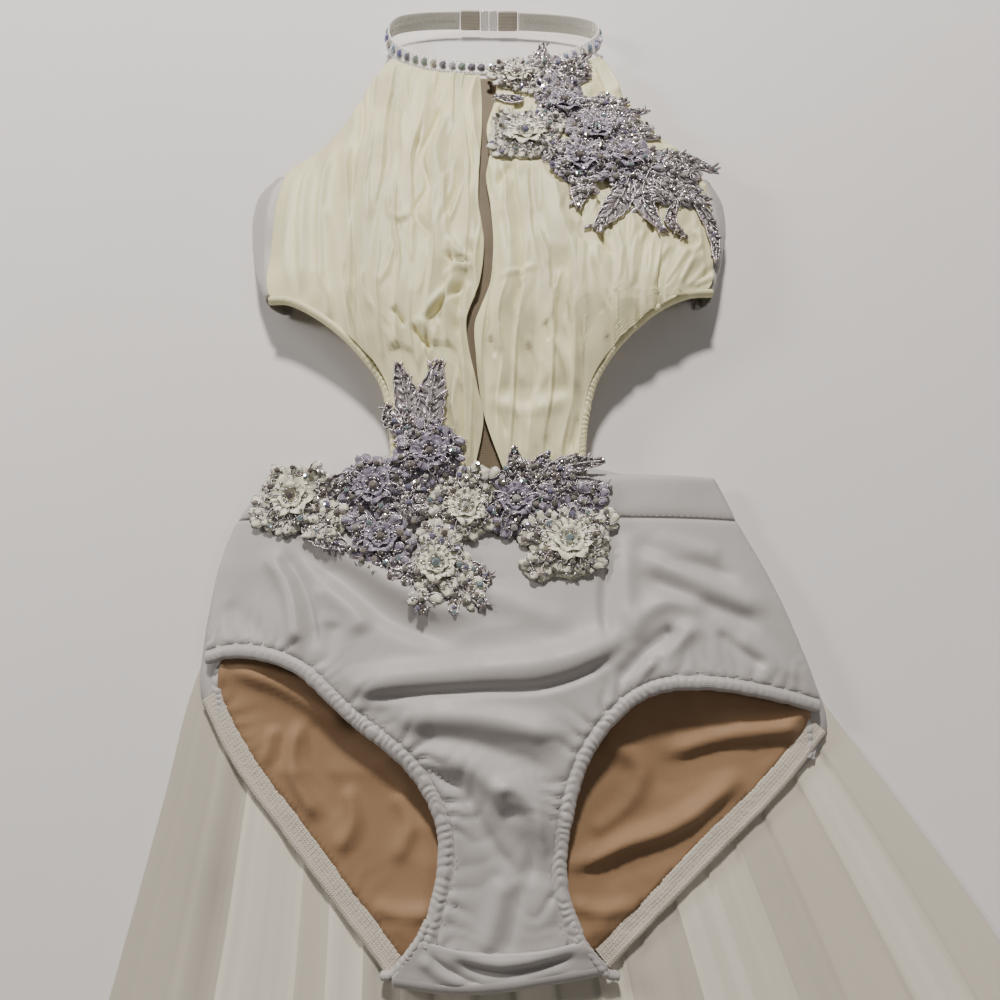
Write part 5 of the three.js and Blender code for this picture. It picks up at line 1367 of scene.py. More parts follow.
def make_back_band(sizes, colours):
    """The hidden back band: a low level strip on the floor with shallow puckers."""
    rows = table("v leftX leftY rightX rightY bow", (0, -119.9, 174, 111.9, 171, -20),
                 (0.5, -119, 142, 111, 140, -5), (1, -114.1, 97, 107.1, 101, 10))
    u, v = grid(44, 16)
    x, y = panel_place(rows, u, v)
    top = 1.15 + 0.12 * grain(x / 13, y / 9, 111)
    form = shell(place(x, y, top), 0.9)
    piece = put("back_band_cloth", form, spandex_look(colours),
                on_both_sides(x + 140, y + 20), replaces=("back_band",))


# ------------------------------------------------------------------ neckband and clasp
LOOP = {"x": -4, "y": 294, "half_width": 67, "front": 30.5, "back": 17.5, "back_skew": -0.03,
        "front_skew": 0.07}
BAND_START = 1.79
BAND_END = 7.719
BAND_CLOTH = 1.5


def band_frame(angle):
    """Centre line of the egg-shaped neckband at an angle round it, the way it rises across its
    width, and the way its outer face looks. It lies flat in front and leans up behind."""
    cosine, sine = np.cos(angle), np.sin(angle)
    power = np.where(sine > 0, 0.72, 0.92)
    x = LOOP["x"] + LOOP["half_width"] * np.sign(cosine) * np.abs(cosine) ** power
    depth = np.where(sine > 0, LOOP["back"], LOOP["front"])
    turned = np.where(sine > 0, LOOP["back_skew"] * x, LOOP["front_skew"] * np.maximum(0, x))
    settle = np.minimum(1, 2 * np.abs(sine))
    y = LOOP["y"] + depth * np.sign(sine) * np.abs(sine) ** power + turned * settle
    behind = (1 + sine) / 2
    lean = mix(0.1, 0.92, behind)
    upward = place(-0.12 * cosine, np.cos(lean), np.sin(lean))
    upward /= np.linalg.norm(upward, axis=-1, keepdims=True)
    outward = place(cosine * 0.9, sine * np.sin(lean), 0.25 + 0.5 * (1 - behind))
    outward = outward - (outward * upward).sum(axis=-1, keepdims=True) * upward
    outward /= np.linalg.norm(outward, axis=-1, keepdims=True)
    return place(x, y, mix(11.9, 7.2, behind)), upward, outward


def band_point(angle, across, out):
    centre, upward, outward = band_frame(angle)
    return centre + upward * np.asarray(across)[..., None] + outward * np.asarray(out)[..., None]


def even_angles(start, end, spacing):
    """Angles at which points lie evenly spaced along the neckband."""
    fine = np.linspace(start, end, 2000)
    run = path_length(band_frame(fine)[0])
    count = max(2, int(round(run[-1] / spacing)) + 1)
    return np.interp(np.linspace(0, run[-1], count), run, fine), run[-1]


def rounded_box_ring(width, thickness, sides, power=5.0):
    """Points round a flattened superellipse, as (across, out)."""
    turn = np.linspace(0, 2 * np.pi, sides, endpoint=False)
    reach = (np.abs(np.cos(turn)) ** power + np.abs(np.sin(turn)) ** power) ** (-1 / power)
    return width / 2 * reach * np.cos(turn), thickness / 2 * reach * np.sin(turn)


def make_neckband(sizes, colours):
    """A folded strap carried round the loop, softly puckered by its stitching."""
    width = sizes.band_width / MM
    angles, length = even_angles(BAND_START, BAND_END, 1.1)
    across, out = rounded_box_ring(width, BAND_CLOTH, 28)
    run = np.linspace(0, length, len(angles))
    pucker = 1 + 0.10 * grain(run / 3.2, run * 0, 121)[:, None] * np.abs(across[None]) / (width / 2)
    points = band_point(angles[:, None] + 0 * across[None], across[None] + 0 * angles[:, None],
                        out[None] * pucker)
    around = np.concatenate([[0], np.cumsum(np.hypot(np.diff(across), np.diff(out)))])
    # The outer face comes first round the ring, then the inner one, so one number tells them apart.
    uv = place(np.broadcast_to(around, points.shape[:2]), np.broadcast_to(run[:, None], points.shape[:2]))
    uv = np.vstack([uv.reshape(-1, 2), uv[0].mean(axis=0), uv[-1].mean(axis=0)])
    look = material_of("band", lambda: band_cloth("satin_neckband", linear("e6e1dd"), width))
    put("neckband_strap", rolled(points), look, uv, replaces=("neckband",))


def make_band_stitching(sizes, colours):
    """A zigzag along the middle of the inner face and a straight row near either edge."""
    width = sizes.band_width / MM
    angles, _ = even_angles(BAND_START + 0.05, BAND_END - 0.05, 1.5)
    zigzag = 1.1 * (np.arange(len(angles)) % 2 * 2 - 1)
    seam = band_point(angles, zigzag, np.full(len(angles), -BAND_CLOTH / 2 - 0.05))
    rows = [cord(seam, 0.2, 5)]
    for across in (-0.38 * width, 0.38 * width):
        for out in (-BAND_CLOTH / 2, BAND_CLOTH / 2):
            dots, _ = even_angles(BAND_START + 0.03, BAND_END - 0.03, 2.6)
            _, upward, outward = band_frame(dots)
            way = np.cross(upward, outward)
            frames = np.stack([way, upward, outward], axis=-1)
            sizes_of = np.tile([0.95, 0.22, 0.18], (len(dots), 1))
            rows.append(scatter(BEAD, band_point(dots, across + 0 * dots, out + 0 * dots), frames, sizes_of))
    put("neckband_stitching", merge(rows), thread_look(colours))


def tab_form(start, length, width, thickness, corner):
    """A flat rounded bar along the back of the neckband, tipped back with it."""
    count = 22
    along = np.linspace(0, 1, count)
    ease = (1 - np.abs(2 * along - 1) ** corner) ** (1 / corner)
    across, out = rounded_box_ring(1.0, 1.0, 24, 4.0)
    scale = mix(0.86, 1.0, ease)
    middle = start + length / 2
    tip = 0.92
    y_axis = np.array([0, math.cos(tip), math.sin(tip)])
    z_axis = np.array([0, -math.sin(tip), math.cos(tip)])
    centre = np.array([middle, LOOP["y"] + LOOP["back"] + LOOP["back_skew"] * middle + 0.1, 7.2])
    x = (along - 0.5) * length
    rings = (centre + x[:, None, None] * np.array([1.0, 0, 0])
             + (width * across[None] * scale[:, None])[..., None] * y_axis
             + (thickness * out[None] * scale[:, None])[..., None] * z_axis)
    return rings


def make_clasp(sizes, colours):
    """Two folded elastic tabs and, between them, the two clear halves of the clasp. All four are
    plain rounded bars that lie end to end, a seam's gap apart."""
    width = sizes.band_width / MM + 1
    for name, start in (("left", -25.6), ("right", -1.4)):
        rings = tab_form(start, 12.6, width, 2.4, 8)
        uv = place(np.broadcast_to(np.arange(24) * 1.1, rings.shape[:2]),
                   np.broadcast_to(np.linspace(0, 12.6, 22)[:, None], rings.shape[:2]))
        uv = np.vstack([uv.reshape(-1, 2), uv[0, :1], uv[-1, :1]])
        put(f"neck_tab_{name}_fold", rolled(rings), elastic_look(colours), uv,
            replaces=(f"neck_tab_{name}",))
    look = material_of("nylon", lambda: clear_nylon("clear_nylon"))
    for name, start in (("hook", -12.6), ("eye", -7.0)):
        put(f"clasp_{name}_moulding", rolled(tab_form(start, 5.25, width, 1.8, 5)), look,
            replaces=(f"clasp_{name}",))


# ------------------------------------------------------------------ applique
PAD_THICK = 1.1
FLOWERS = {
    "waist": table(
        "name x y radius tone petals",
        ("cream_hip", -100, -20, 15, "cream", 6), ("lavender_left", -60.5, -15, 13, "lavender", 5),
        ("lavender_top", -34, 2, 13, "lavender", 5), ("lavender_low", -55.5, -41, 11.6, "lavender", 5),
        ("cream_middle", -16, -25.5, 13, "cream", 6), ("cream_low", -29, -54, 12.5, "cream", 6),
        ("lavender_right", 8, -22, 12.3, "lavender", 5), ("cream_right", 32.5, -42, 16, "cream", 7)),
    "shoulder": table(
        "name x y radius tone petals",
        ("cream_neck", 10, 253, 12, "cream", 6), ("lavender_neck", 38.5, 227, 13.5, "lavender", 5),
        ("cream_bust", 14.5, 198, 16, "cream", 7), ("lavender_bust", 56, 203, 13.5, "lavender", 5),
        ("lavender_outer", 44.5, 177, 13, "lavender", 5), ("lavender_side", 71, 180, 12, "lavender", 5)),
}
# Leaves: where they start and end, how wide they are, how far they bend to the left of their way.
LEAVES = {
    "waist": table(
        "baseX baseY tipX tipY width bend",
        (-46, 6, -52, 49, 15, -3), (-34, 10, -30, 49, 17, 2), (-48, 14, -56, 28, 9, 3),
        (15, -14, 51, -2, 11, 3), (18, -20, 54, -15, 11, 3), (20, -14, 38, 1, 8, 2),
        (7, -10, 7, 5, 8, 0), (15, -12, 24, 2, 8, 1), (-60, -40, -43, -62, 11, -2),
        (-33, -62, -35, -78, 9, 0),
        (-23, -62, -20, -78, 9, 0), (-18, -60, -7, -75, 9, 1), (-19, -56, -4, -62, 9, 2),
        (-94, -28, -70, -46, 14, -3), (-84, -20, -70, -9, 10, 2)),
    "shoulder": table(
        "baseX baseY tipX tipY width bend",
        (28, 248, 27, 281, 14, 2), (38, 240, 53, 272, 15, 2), (48, 226, 76, 233, 13, -2),
        (64, 206, 88, 224, 11, 5), (66, 194, 93, 200, 10, 3), (84, 184, 124, 177, 14, 3),
        (80, 182, 114, 150, 16, 3),
        (104, 158, 116, 112, 9, 6), (84, 172, 88, 128, 15, -8), (72, 166, 50, 127, 16, 3),
        (46, 170, 42, 141, 13, 0), (22, 212, 42, 226, 10, 0), (14, 230, -3, 233, 9, 1),
        (96, 148, 101, 126, 8, -6)),
}
# The ground of each applique: rounds of net that overlap into one mass.
MASSES = {
    "waist": table(
        "x y radius tone",
        (-101, -21, 16.6, "cream"), (-111, -25, 8.7, "cream"), (-83, -32, 10.8, "cream"),
        (-91, -13, 8.9, "cream"), (-61, -15, 15.4, "lavender"), (-55, -45, 14.3, "lavender"),
        (-60, -32, 11.7, "lavender"), (-44, -59, 6.1, "silver"), (-34, 2, 15.7, "lavender"),
        (-48, 17, 7.1, "silver"), (-43, -22, 11.9, "silver"), (-18, -24, 17.7, "cream"),
        (-11, -13, 8.8, "cream"), (-28, -40, 9.7, "cream"), (-27, -56, 13.1, "cream"),
        (-34, -70, 6.4, "cream"), (-15, -66, 8.3, "cream"), (7, -24, 15.8, "lavender"),
        (11, -11, 9.8, "silver"), (29, -18, 10.9, "lavender"), (42, -21, 8.9, "lavender"),
        (32, -43, 18.2, "cream"), (18, -55, 7.5, "cream"), (46, -32, 7.8, "cream"),
        (16, -37, 7.8, "cream")),
    "shoulder": table(
        "x y radius tone",
        (7, 254, 13.5, "cream"), (21, 248, 13.5, "cream"), (28, 262, 10.5, "silver"),
        (44, 257, 12.0, "silver"), (34, 240, 15.0, "lavender"), (38, 225, 16.5, "lavender"),
        (14, 197, 20.0, "cream"), (3, 209, 8.5, "cream"), (27, 210, 12.5, "cream"),
        (3, 187, 9.5, "cream"), (56, 202, 17.0, "lavender"), (62, 226, 10.5, "silver"),
        (44, 175, 16.5, "lavender"), (67, 177, 16.5, "lavender"), (83, 178, 12.0, "lavender"),
        (96, 178, 10.0, "silver"), (79, 206, 9.0, "silver"), (31, 184, 10.0, "silver"),
        (107, 173, 6.9, "silver"), (46, 156, 7.0, "silver"), (92, 156, 9.7, "silver"),
        (104, 156, 8.5, "silver")),
}


def applique_rest(x, y):
    """Height that the applique rests on: the tallest cloth under it and a seam's gap."""
    over_bodice = bodice_height(x, y) + 3.2
    over_waist = brief_height(x, y) + 2.45
    waist = mix(over_waist, np.maximum(over_bodice, over_waist), np.clip((y + 20) / 14, 0, 1))
    top = np.where(y > 12, over_bodice, waist)
    return np.where(y > 250, np.maximum(over_bodice, 13.3), top) + SEAM_GAP


def round_form(rings, sides, shape):
    """A closed form of rings from its lower pole to its upper one; shape gives radius and height."""
    share = np.linspace(0, 1, rings + 2)[1:-1]
    radius, height = shape(share)
    turn = np.linspace(0, 2 * np.pi, sides, endpoint=False)
    points = place(radius[:, None] * np.cos(turn), radius[:, None] * np.sin(turn), height[:, None] + 0 * turn)
    return rolled(points)


BEAD = round_form(4, 6, lambda t: (np.sin(np.pi * t), -np.cos(np.pi * t)))
CRYSTAL_PROFILE = np.array([[0.92, 0.0], [1.0, 0.14], [0.62, 0.52], [0.45, 0.56]])


def crystal_form():
    """A flat-backed cut stone: a girdle, eight slanting facets and a small table."""
    turn = np.linspace(0, 2 * np.pi, 8, endpoint=False)
    rings = place(CRYSTAL_PROFILE[:, :1] * np.cos(turn), CRYSTAL_PROFILE[:, :1] * np.sin(turn),
                  CRYSTAL_PROFILE[:, 1:] + 0 * turn)
    return rolled(rings)


CRYSTAL = crystal_form()


def leaflet_form():
    """A small pointed blade of satin stitch, one long and one wide, highest along its middle."""
    u, v = grid(2, 5)
    half = 0.5 * np.sin(np.pi * (0.06 + 0.88 * v)) ** 0.8
    x, y = v, (2 * u - 1) * half
    return shell(place(x, y, 0.35 + 0.65 * np.sin(np.pi * u) * np.sin(np.pi * (0.1 + 0.8 * v))), 0.3)


def small_petal_form():
    """A small round-ended petal, one long and one wide, cupped up at its sides and tip."""
    u, v = grid(2, 4)
    across = 2 * u - 1
    half = 0.5 * np.sin(np.pi * (0.08 + 0.8 * v ** 0.8)) ** 0.6
    return shell(place(v, across * half, 0.3 + 0.45 * v ** 2 + 0.35 * across ** 2 * v), 0.25)


def loop_cord_form():
    """A thin cord round the outline of a petal."""
    turn = np.linspace(0, 2 * np.pi, 11)
    path = place(0.5 - 0.5 * np.cos(turn), 0.5 * np.sin(turn) * (1 - 0.2 * np.cos(turn)), 0.55 + 0 * turn)
    way = np.gradient(path, axis=0)
    way[0] = way[-1] = path[1] - path[-2]
    way /= np.linalg.norm(way, axis=1, keepdims=True)
    across = np.cross(way, [0.0, 0.0, 1.0])
    turn = np.linspace(0, 2 * np.pi, 3, endpoint=False)
    ring = (across[:, None] * np.cos(turn)[None, :, None] * 0.09
            + np.array([0, 0, 1.0]) * np.sin(turn)[None, :, None] * 0.34)
    return rolled((path[:, None] + ring)[:, ::-1])


LEAFLET = leaflet_form()
SMALL_PETAL = small_petal_form()
LOOP_CORD = loop_cord_form()


def strewn(which, seed, pitch):
    """Places over the masses: a staggered grid of the pitch, each moved a little at random. With
    them come the way out from the nearest mass's middle and its tone."""
    luck = np.random.default_rng(seed)
    rounds = np.array([[spot["x"], spot["y"], spot["radius"]] for spot in MASSES[which]])
    low, high = (rounds[:, :2] - rounds[:, 2:]).min(axis=0), (rounds[:, :2] + rounds[:, 2:]).max(axis=0)
    x, y = np.meshgrid(np.arange(low[0], high[0], pitch), np.arange(low[1], high[1], pitch * 0.87),
                       indexing="ij")
    x = x + (np.arange(x.shape[1]) % 2) * pitch / 2
    x, y = (part.ravel() + luck.uniform(-0.3, 0.3, part.size) * pitch for part in (x, y))
    gap = np.hypot(x[:, None] - rounds[:, 0], y[:, None] - rounds[:, 1]) / rounds[:, 2]
    spot = gap.argmin(axis=1)
    keep = gap.min(axis=1) < 0.98
    heading = np.arctan2(y - rounds[spot, 1], x - rounds[spot, 0])
    tones = np.array([spot["tone"] for spot in MASSES[which]])[spot]
    return x[keep], y[keep], heading[keep], tones[keep]


def off_hearts(which, x, y, share):
    """True where a place is farther from every flower's middle than a share of its radius."""
    return np.all([np.hypot(x - spec["x"], y - spec["y"]) > share * spec["radius"]
                   for spec in FLOWERS[which]], axis=0)


def vein_of(spec, t):
    """Points along a leaf's middle, bowed sideways by its bend, and the way the leaf points."""
    way = math.atan2(spec["tipY"] - spec["baseY"], spec["tipX"] - spec["baseX"])
    bend = spec["bend"] * np.sin(np.pi * t)
    x = mix(spec["baseX"], spec["tipX"], t) - bend * math.sin(way)
    y = mix(spec["baseY"], spec["tipY"], t) + bend * math.cos(way)
    return x, y, way


def leaflets_of(spec, seed):
    """Places, directions and lengths of the leaflets in pairs along a leaf's vein, longest below
    the middle, opening wide at the base and closing in at the tip."""
    luck = np.random.default_rng(seed)
    length = math.hypot(spec["tipX"] - spec["baseX"], spec["tipY"] - spec["baseY"])
    pairs = max(5, int(length / 3.0))
    t = np.repeat((np.arange(pairs) + 0.4) / pairs, 2)
    side = np.tile([1, -1], pairs)
    x, y, way = vein_of(spec, t)
    spreading = mix(1.0, 0.35, t) + luck.uniform(-0.55, 0.55, len(t))
    size = spec["width"] * (0.28 + 0.22 * np.sin(np.pi * (0.2 + 0.72 * t))) * luck.uniform(0.5, 1.1, len(t))
    off = side * luck.uniform(0, 0.16, len(t)) * spec["width"]
    return x - off * math.sin(way), y + off * math.cos(way), way + side * spreading, size


def make_lace(sizes, colours):
    """Each applique: rounds of net with scalloped edges and pointed leaves of net; on every leaf
    a vein of cord with leaflets of satin stitch in pairs; and over the net loops of cord, each
    round a small organza petal, set closely with their tips outwards."""
    silver = material_of("cord", lambda: metallic_cord("metallic_cord", colours.cord, 0.9))
    grounds = {"silver": material_of("net", lambda: lace_net("silver_net", colours.cord)),
               "lavender": material_of("lavender_net", lambda: lace_net("lavender_net", colours.lavender)),
               "cream": material_of("cream_net", lambda: lace_net("cream_net", colours.cream))}
    for which, seed in (("waist", 300), ("shoulder", 400)):
        luck = np.random.default_rng(seed)
        pads = {tone: [] for tone in grounds}
        cords, places, angles, lengths = [], [], [], []
        for k, spec in enumerate(MASSES[which]):
            u, v = grid(44, 3)
            turn = 2 * np.pi * u
            radius = spec["radius"] * (0.12 + 0.88 * v) * (0.95 + 0.08 * np.abs(np.sin(6.5 * turn + k)))
            x, y = spec["x"] + radius * np.cos(turn), spec["y"] + radius * np.sin(turn)
            pads[spec["tone"]].append(shell(place(x, y, applique_rest(x, y) + 0.75 + 0.03 * (k % 7)), 0.5))
        for k, spec in enumerate(LEAVES[which]):
            u, v = grid(4, 12)
            body = np.sin(np.pi * np.minimum(1, 0.12 + 0.86 * v)) ** 0.8
            x, y, way = vein_of(spec, v)
            out = (u - 0.5) * spec["width"] * body * 0.8
            x, y = x - out * math.sin(way), y + out * math.cos(way)
            pads["silver"].append(shell(place(x, y, applique_rest(x, y) + 0.7), 0.45))
            t = np.linspace(0, 1, 40)
            x, y, way = vein_of(spec, t)
            cords.append(cord(place(x, y, applique_rest(x, y) + 1.5), 0.5, 6))
            scallop = 0.36 + 0.07 * np.abs(np.sin(np.pi * t * spec["width"] / 2.2))
            edge = spec["width"] * scallop * np.sin(np.pi * np.minimum(1, 0.12 + 0.86 * t)) ** 0.8
            for side in (-1, 1):
                ex, ey = x - side * edge * np.sin(way), y + side * edge * np.cos(way)
                cords.append(cord(place(ex, ey, applique_rest(ex, ey) + 1.1), 0.5, 5))
            x, y, heading, size = leaflets_of(spec, seed + k)
            places.append(place(x, y, applique_rest(x, y) + 0.6))
            angles.append(heading)
            lengths.append(size)
        places, angles, lengths = np.vstack(places), np.concatenate(angles), np.concatenate(lengths)
        count = len(angles)
        frames = lying(angles, luck.uniform(-0.16, 0.16, count), angles)
        lengths = lengths * luck.uniform(0.75, 1.2, count)
        shape = np.column_stack([lengths, lengths * luck.uniform(0.3, 0.5, count), np.full(count, 1.2)])
        x, y, heading, tones = strewn(which, seed + 50, 3.9)
        open_ground = off_hearts(which, x, y, 0.5) & (luck.uniform(0, 1, len(x)) < 0.8)
        x, y, heading, tones = x[open_ground], y[open_ground], heading[open_ground], tones[open_ground]
        count = len(x)
        size = luck.uniform(4.6, 6.8, count)
        heading = heading + luck.uniform(-0.9, 0.9, count)
        spots = place(x - 0.5 * size * np.cos(heading), y - 0.5 * size * np.sin(heading),
                      applique_rest(x, y) + 1.0 + luck.uniform(0, 0.7, count))
        turned = lying(heading, luck.uniform(-0.05, 0.3, count), heading)
        petal = np.column_stack([size, size * luck.uniform(0.55, 0.75, count), luck.uniform(1.0, 1.7, count)])
        for tone, look in (("lavender", lavender_look(colours)), ("cream", cream_look(colours))):
            of_tone = tones == tone
            put(f"small_petals_{which}_{tone}",
                scatter(SMALL_PETAL, spots[of_tone], turned[of_tone], petal[of_tone]), look,
                np.tile(SMALL_PETAL[0][:, 1::-1] * 5 + [8, 0], (int(of_tone.sum()), 1)))
        stitched = tones == "silver"
        blades = merge([scatter(LEAFLET, places, frames, shape),
                        scatter(LEAFLET, spots[stitched], turned[stitched], petal[stitched] * [1, 0.7, 0.8])])
        outlines = scatter(LOOP_CORD, spots + [0, 0, 0.2], turned, petal * [1.08, 1.1, 0.7])
        put(f"lace_{which}_silver_net", merge(pads["silver"]), grounds["silver"],
            replaces=(f"lace_{which}",))
        for tone in ("lavender", "cream"):
            put(f"lace_{which}_{tone}_net", merge(pads[tone]), grounds[tone])
        put(f"lace_{which}_leaves", blades, silver)
        put(f"lace_{which}_cords", merge(cords), silver)
        put(f"lace_{which}_loops", outlines, silver)


def petal_ring(spec, count, length, width, lift, turn, seed):
    """A ring of petals. Each is a rounded blade, cupped across and curling up along its length,
    with a crimped rim."""
    luck = np.random.default_rng(seed)
    forms, flats = [], []
    for k in range(count):
        u, v = grid(8, 7)
        u = 2 * u - 1
        heading = turn + 2 * math.pi * k / count + luck.uniform(-0.12, 0.12)
        long = length * luck.uniform(0.9, 1.06)
        half = 0.5 * width * np.sin(np.pi * np.clip(0.1 + 0.86 * v ** 0.8, 0, 1)) ** 0.55
        run, aside = 0.12 * long + 0.88 * long * v * (1 - 0.10 * u ** 2), u * half
        crimp = 0.14 * np.sin(7 * u + 9 * v + luck.uniform(0, 6)) * v ** 2
        z = lift * np.sin(0.5 * np.pi * v) ** 1.3 + 0.9 * u ** 2 * v + crimp - 0.5 * lift * step(0.7, 1.0, v)
        x = spec["x"] + run * math.cos(heading) - aside * math.sin(heading)
        y = spec["y"] + run * math.sin(heading) + aside * math.cos(heading)
        forms.append(shell(place(x, y, applique_rest(x, y) + PAD_THICK + 0.7 + np.maximum(z, 0)), 0.3))
        flats.append(on_both_sides(aside + 8, run))
    return forms, flats


def lavender_look(colours):
    return material_of("lavender", lambda: organza_petal("lavender_organza", colours.lavender))


def cream_look(colours):
    return material_of("cream", lambda: organza_petal("cream_organza", colours.cream))


def make_flowers(sizes, colours):
    """Each flower has a low ring of petals and a steeper ring of small ones turned between them,
    and round the cream ones slender loops of cord stand out like rays."""
    looks = {"cream": cream_look(colours), "lavender": lavender_look(colours)}
    silver = material_of("cord", lambda: metallic_cord("metallic_cord", colours.cord, 0.9))
    for which in ("waist", "shoulder"):
        rays, headings, lengths = [], [], []
        for k, spec in enumerate(FLOWERS[which]):
            radius, petals = spec["radius"], spec["petals"]
            lower = petal_ring(spec, petals, radius * 0.78, radius * 4.4 / petals, 2.2, 0.9 * k, 500 + k)
            upper = petal_ring(spec, 5, radius * 0.5, radius * 0.5, 2.9, 0.9 * k + 0.5, 520 + k)
            put(f"flower_{spec['name']}_petals", merge(lower[0] + upper[0]), looks[spec["tone"]],
                np.vstack(lower[1] + upper[1]),
                replaces=(f"flower_{spec['name']}",))
            count = 13 if spec["tone"] == "cream" else 9
            drift = 0.3 * grain(np.arange(count) * 1.7, k + np.zeros(count), 9)
            turn = 2 * np.pi * (np.arange(count) + drift) / count
            near = 0.28 * radius
            x, y = spec["x"] + near * np.cos(turn), spec["y"] + near * np.sin(turn)
            rays.append(place(x, y, applique_rest(x, y) + 3.2))
            headings.append(turn)
            lengths.append(radius * (0.62 + 0.1 * np.sin(5.0 * turn + k)))
        rays, headings, lengths = np.vstack(rays), np.concatenate(headings), np.concatenate(lengths)
        frames = lying(headings, np.full(len(headings), -0.02), headings)
        shape = np.column_stack([lengths, lengths * 0.36, np.full(len(lengths), 0.9)])
        put(f"flower_rays_{which}", scatter(LOOP_CORD, rays, frames, shape), silver)


SMOKY_TINTS = ("b0a79e", "857d76", "dcd7d1", "968f88", "a09bb8", "beb6ad", "a3b3b5", "89817a")
RAINBOW_TINTS = ("8f8cba", "b7a8c6", "7ea9b2", "c6bfb5", "9aa79f", "a9b8cb", "c9c4d6", "8b8794")


def tinted(count, corners, luck):
    """The same random number at every point of each copy, so that each copy has one tint."""
    shade_of = np.repeat(luck.uniform(0, 1, count), corners)
    return place(shade_of, shade_of)


def make_crystals_and_beads(sizes, colours):
    """Crystals at every flower's heart, round its rim and along each leaf's vein, with beads
    ringed round the hearts and strewn between."""
    crystal = material_of("crystal", lambda: foiled_crystal("foiled_crystal", SMOKY_TINTS, 0.55))
    silver = material_of("bead", lambda: silvered_bead("silvered_bead"))
    bead = sizes.bead / MM
    for which, seed in (("waist", 600), ("shoulder", 700)):
        luck = np.random.default_rng(seed)
        stones, beads = [], []          # rows of x, y, height above the rest, diameter
        for spec in FLOWERS[which]:
            stones.append([[spec["x"], spec["y"], 4.2, 4.4]])
            for count, near, rows, low, high in ((5, 0.8, stones, 2.9, 3.6), (9, 0.25, beads, 0.8, 1.0),
                                                 (8, 0.6, beads, 0.7, 1.0)):
                turn = 2 * np.pi * (np.arange(count) + luck.uniform(-0.25, 0.25, count)) / count
                far = spec["radius"] * near * luck.uniform(0.9, 1.12, count)
                size = luck.uniform(low, high, count) * (1 if rows is stones else bead)
                rows.append(place(spec["x"] + far * np.cos(turn), spec["y"] + far * np.sin(turn), 3.9, size))
        for spec in LEAVES[which]:
            t = np.array([0.2, 0.42, 0.62, 0.8, 0.97])
            x, y, _ = vein_of(spec, t)
            stones.append(place(x, y, 2.0, np.array([2.7, 2.5, 2.3, 2.0, 2.2])))
            t = luck.uniform(0.1, 1.0, 12)
            x, y, way = vein_of(spec, t)
            off = luck.uniform(-0.4, 0.4, 12) * spec["width"] * (1.1 - 0.5 * t)
            beads.append(place(x - off * math.sin(way), y + off * math.cos(way), 1.9,
                               bead * luck.uniform(0.6, 0.9, 12)))
        x, y, _, _ = strewn(which, seed + 5, 6.8)
        open_ground = off_hearts(which, x, y, 0.9)
        stones.append(place(x, y, 2.4, luck.uniform(2.6, 3.6, len(x)))[open_ground])
        x, y, _, _ = strewn(which, seed + 6, 5.2)
        open_ground = off_hearts(which, x, y, 0.7)
        beads.append(place(x, y, 2.3, bead * luck.uniform(0.7, 1.05, len(x)))[open_ground])
        for name, rows, form, look, smooth in (("crystals", stones, CRYSTAL, crystal, False),
                                               ("beads", beads, BEAD, silver, True)):
            rows = np.vstack(rows)
            count = len(rows)
            places = place(rows[:, 0], rows[:, 1], applique_rest(rows[:, 0], rows[:, 1]) + rows[:, 2])
            frames = lying(luck.uniform(0, 6.3, count), luck.uniform(0, 0.45, count),
                           luck.uniform(0, 6.3, count))
            half = np.repeat(rows[:, 3:] / 2, 3, axis=1)
            put(f"{name}_{which}", scatter(form, places, frames, half), look,
                tinted(count, len(form[0]), luck), smooth)


def make_neck_crystals(sizes, colours):
    """One row of flat-backed crystals along the outer face of the neckband's front."""
    crystal = material_of("rainbow", lambda: foiled_crystal("rainbow_crystal", RAINBOW_TINTS, 0.3))
    angles, _ = even_angles(math.pi - 0.12, 2 * math.pi + 0.12, sizes.stone_pitch / MM)
    count = len(angles)
    _, upward, outward = band_frame(angles)
    frames = np.stack([np.cross(upward, outward), upward, outward], axis=-1)
    luck = np.random.default_rng(800)
    places = band_point(angles, np.zeros(count), np.full(count, BAND_CLOTH / 2))
    half = np.full((count, 3), sizes.neck_stone / MM / 2)
    put("crystals_neckband", scatter(CRYSTAL, places, frames, half), crystal,
        tinted(count, len(CRYSTAL[0]), luck), False)


# ------------------------------------------------------------------ seams
def stitch_row(path, spacing, long, thick):
    """Short stitches laid along a path, each a stretched bead."""
    run = path_length(path)
    count = int(run[-1] / spacing)
    wanted = (np.arange(count) + 0.5) * spacing
    at = np.column_stack([np.interp(wanted, run, path[:, k]) for k in range(3)])
    way = np.gradient(at, axis=0)
    way /= np.linalg.norm(way, axis=1, keepdims=True)
    across = np.cross([0.0, 0.0, 1.0], way)
    across /= np.linalg.norm(across, axis=1, keepdims=True)
    frames = np.stack([way, across, np.cross(way, across)], axis=-1)
    return scatter(BEAD, at, frames, np.tile([long / 2, thick / 2, thick / 2], (count, 1)))


